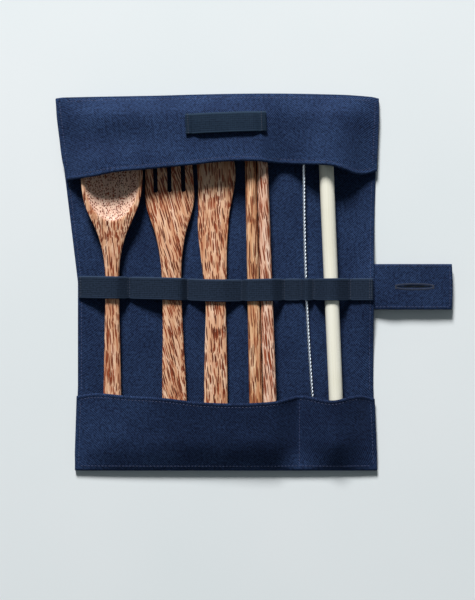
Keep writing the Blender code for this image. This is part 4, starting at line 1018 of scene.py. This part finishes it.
def drinkingStraw(mat):
    # A tapering tube: circles carried out along the outside, round both lips and back inside
    edge, end, wall = straw["edge"], straw["length"], straw["wall"]
    outside = [(s, 0.0) for s in np.linspace(0.004, end - 0.004, 60)]
    inside = [(s, wall) for s in np.linspace(end - 0.004, 0.004, 20)]
    stops = [(0.0, edge), (0.2 * edge, 0.3 * edge), (edge, 0.0), *outside,
             (end - edge, 0.0), (end - 0.2 * edge, 0.3 * edge), (end, edge),
             (end, wall - 0.2 * edge), (end - 0.2 * edge, wall), *inside, (0.2 * edge, wall), (0.0, wall - 0.2 * edge)]
    s, inset = np.array(stops).T[..., None]
    angle = circle(straw["around"])[None, :]
    outer = straw["tip"] + (straw["butt"] - straw["tip"]) * s / end
    x, z = (outer - inset) * np.cos(angle), outer + (outer - inset) * np.sin(angle)
    rings = np.stack([x, np.broadcast_to(straw["tipY"] - s, x.shape), z], axis=2)
    return addMesh("reedStraw", *skin(toPlace(straw, rings), closed=True), mat)


def brushLine(y):
    return np.stack([middleX(brush, y), y, bed + brushHeight(y)], axis=1)


def twistedWire(mat):
    # Two strands laid round each other: each middle line is a helix about the wire's own line, and a
    # circle is carried along it
    y = np.linspace(brush["tipY"], brush["tipY"] - brush["length"], 560)
    radius = brush["strand"] * np.interp(np.arange(560), [0, 1, 2, 557, 558, 559], [0.5, 0.9, 1, 1, 0.9, 0.5])
    around = circle(10)
    points, groups, count = [], [], 0
    for start in (0.0, math.pi):
        a = (brush["tipY"] - y) / brush["lay"] * 2 * math.pi + start
        middle = brushLine(y) + 0.98 * brush["strand"] * np.stack([np.cos(a), np.zeros_like(a), np.sin(a)], axis=1)
        along = unit(np.gradient(middle, axis=0))
        side = unit(np.cross(along, [0.0, 0.0, 1.0]))
        up = np.cross(side, along)
        rings = middle[:, None] + radius[:, None, None] * (-side[:, None] * np.cos(around)[None, :, None]
                                                           + up[:, None] * np.sin(around)[None, :, None])
        p, g = skin(rings)
        points.append(p)
        groups += [faces + count for faces in g]
        count += len(p)
    return addMesh("twistedWire", np.concatenate(points), groups, mat)


def brushBristles(mat):
    # Filaments stand out from the wire in two spirals, each a thin three-sided rod
    count = 900
    rng = np.random.default_rng(3)
    t = (np.arange(count) + 0.5) / count
    y = brush["tipY"] - 0.0012 - t * (brush["bristleLength"] - 0.0016)
    a = y / brush["lay"] * 2 * math.pi + (np.arange(count) % 2) * math.pi + rng.uniform(-0.5, 0.5, count)
    reach = brush["bristle"] * (0.90 + 0.08 * rng.random(count)) * np.minimum(1.0, 0.7 + 8.0 * fromEdge(t))
    out = np.stack([np.cos(a), rng.uniform(-0.08, 0.08, count), np.sin(a)], axis=1)[:, None]
    side = np.stack([-np.sin(a), np.zeros_like(a), np.cos(a)], axis=1)[:, None]
    corner = np.array([0.0, 2.1, 4.2])[None, :, None]
    section = side * np.cos(corner) + np.array([0.0, 1.0, 0.0]) * np.sin(corner)
    root = brushLine(y)[:, None] + brush["filament"] * section
    points = np.stack([root + out * 0.0006, root + out * reach[:, None, None]], axis=1).reshape(-1, 3)
    base = np.arange(count)[:, None] * 6
    walls = np.concatenate([base + np.array([k, (k + 1) % 3, (k + 1) % 3 + 3, k + 3]) for k in range(3)])
    ends = np.concatenate([base + np.array([2, 1, 0]), base + np.array([3, 4, 5])])
    return addMesh("nylonBristles", points, [walls, ends], mat)


strawPiece = drinkingStraw(material("creamPeeledReed", peeledReed, straw))
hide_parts("straw")
wirePiece = twistedWire(material("drawnStainlessSteel", drawnSteel))
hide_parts("brush_wire")
bristlePiece = brushBristles(material("extrudedWhiteNylon", extrudedNylon))
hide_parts("brush_bristles")
print("straw and brush made")

stage = {"key": 362.0, "keyAt": (-0.70, 3.95, 2.30), "keySize": 1.25, "fill": 0.105, "cameraHeight": 0.90,
         "field": 0.384, "sensor": 36.0, "centre": (-0.0106, -0.0113), "table": 3.0, "tableZ": -0.0002}

floorMesh = bpy.data.meshes.new("tableTop")
corners = [(x * stage["table"], y * stage["table"], stage["tableZ"]) for x, y in ((-1, -1), (1, -1), (1, 1), (-1, 1))]
floorMesh.from_pydata(corners, [], [(0, 1, 2, 3)])
floorMesh.materials.append(material("rolledPaintTable", rolledPaint))
floor = addObject("tableTop", floorMesh)

keyLight = bpy.data.lights.new("windowLight", "AREA")
keyLight.shape, keyLight.size, keyLight.energy = "DISK", stage["keySize"], stage["key"]
keyLight.color = (1.0, 0.99, 0.975)
key = addObject("windowLight", keyLight)
x, y, z = stage["keyAt"]
key.location = (x, y, z)
key.rotation_euler = (math.atan2(math.hypot(x, y), z), 0.0, math.atan2(x, -y))

# the room's light from all sides; the camera and mirrors see it pale
world = bpy.data.worlds.new("studio")
bpy.context.scene.world = world
node = nodesOf(world)
rays = node("LightPath")
mirrored = node("Math", {"operation": "MAXIMUM", 0: (rays, "Is Glossy Ray"), 1: (rays, "Is Transmission Ray")})
seen = node("Math", {"operation": "MAXIMUM", 0: (rays, "Is Camera Ray"), 1: (mirrored, 0)})
colour = node("Mix", {"data_type": "RGBA", 0: (seen, 0), 6: srgb("#E7F8FD"), 7: srgb("#E4EBEF")})
strength = node("MapRange", {0: (seen, 0), 3: stage["fill"], 4: 1.0})
sky = node("Background", {"Color": (colour, 2), "Strength": (strength, 0)})
node("OutputWorld", {"Surface": (sky, "Background")})

cameraData = bpy.data.cameras.new("fromAbove")
cameraData.sensor_width = stage["sensor"]
cameraData.lens = stage["sensor"] * stage["cameraHeight"] / stage["field"]
camera = addObject("fromAbove", cameraData)
camera.location = (*stage["centre"], stage["cameraHeight"])
bpy.context.scene.camera = camera
bpy.context.scene.view_settings.view_transform = "Standard"
print("stage set")
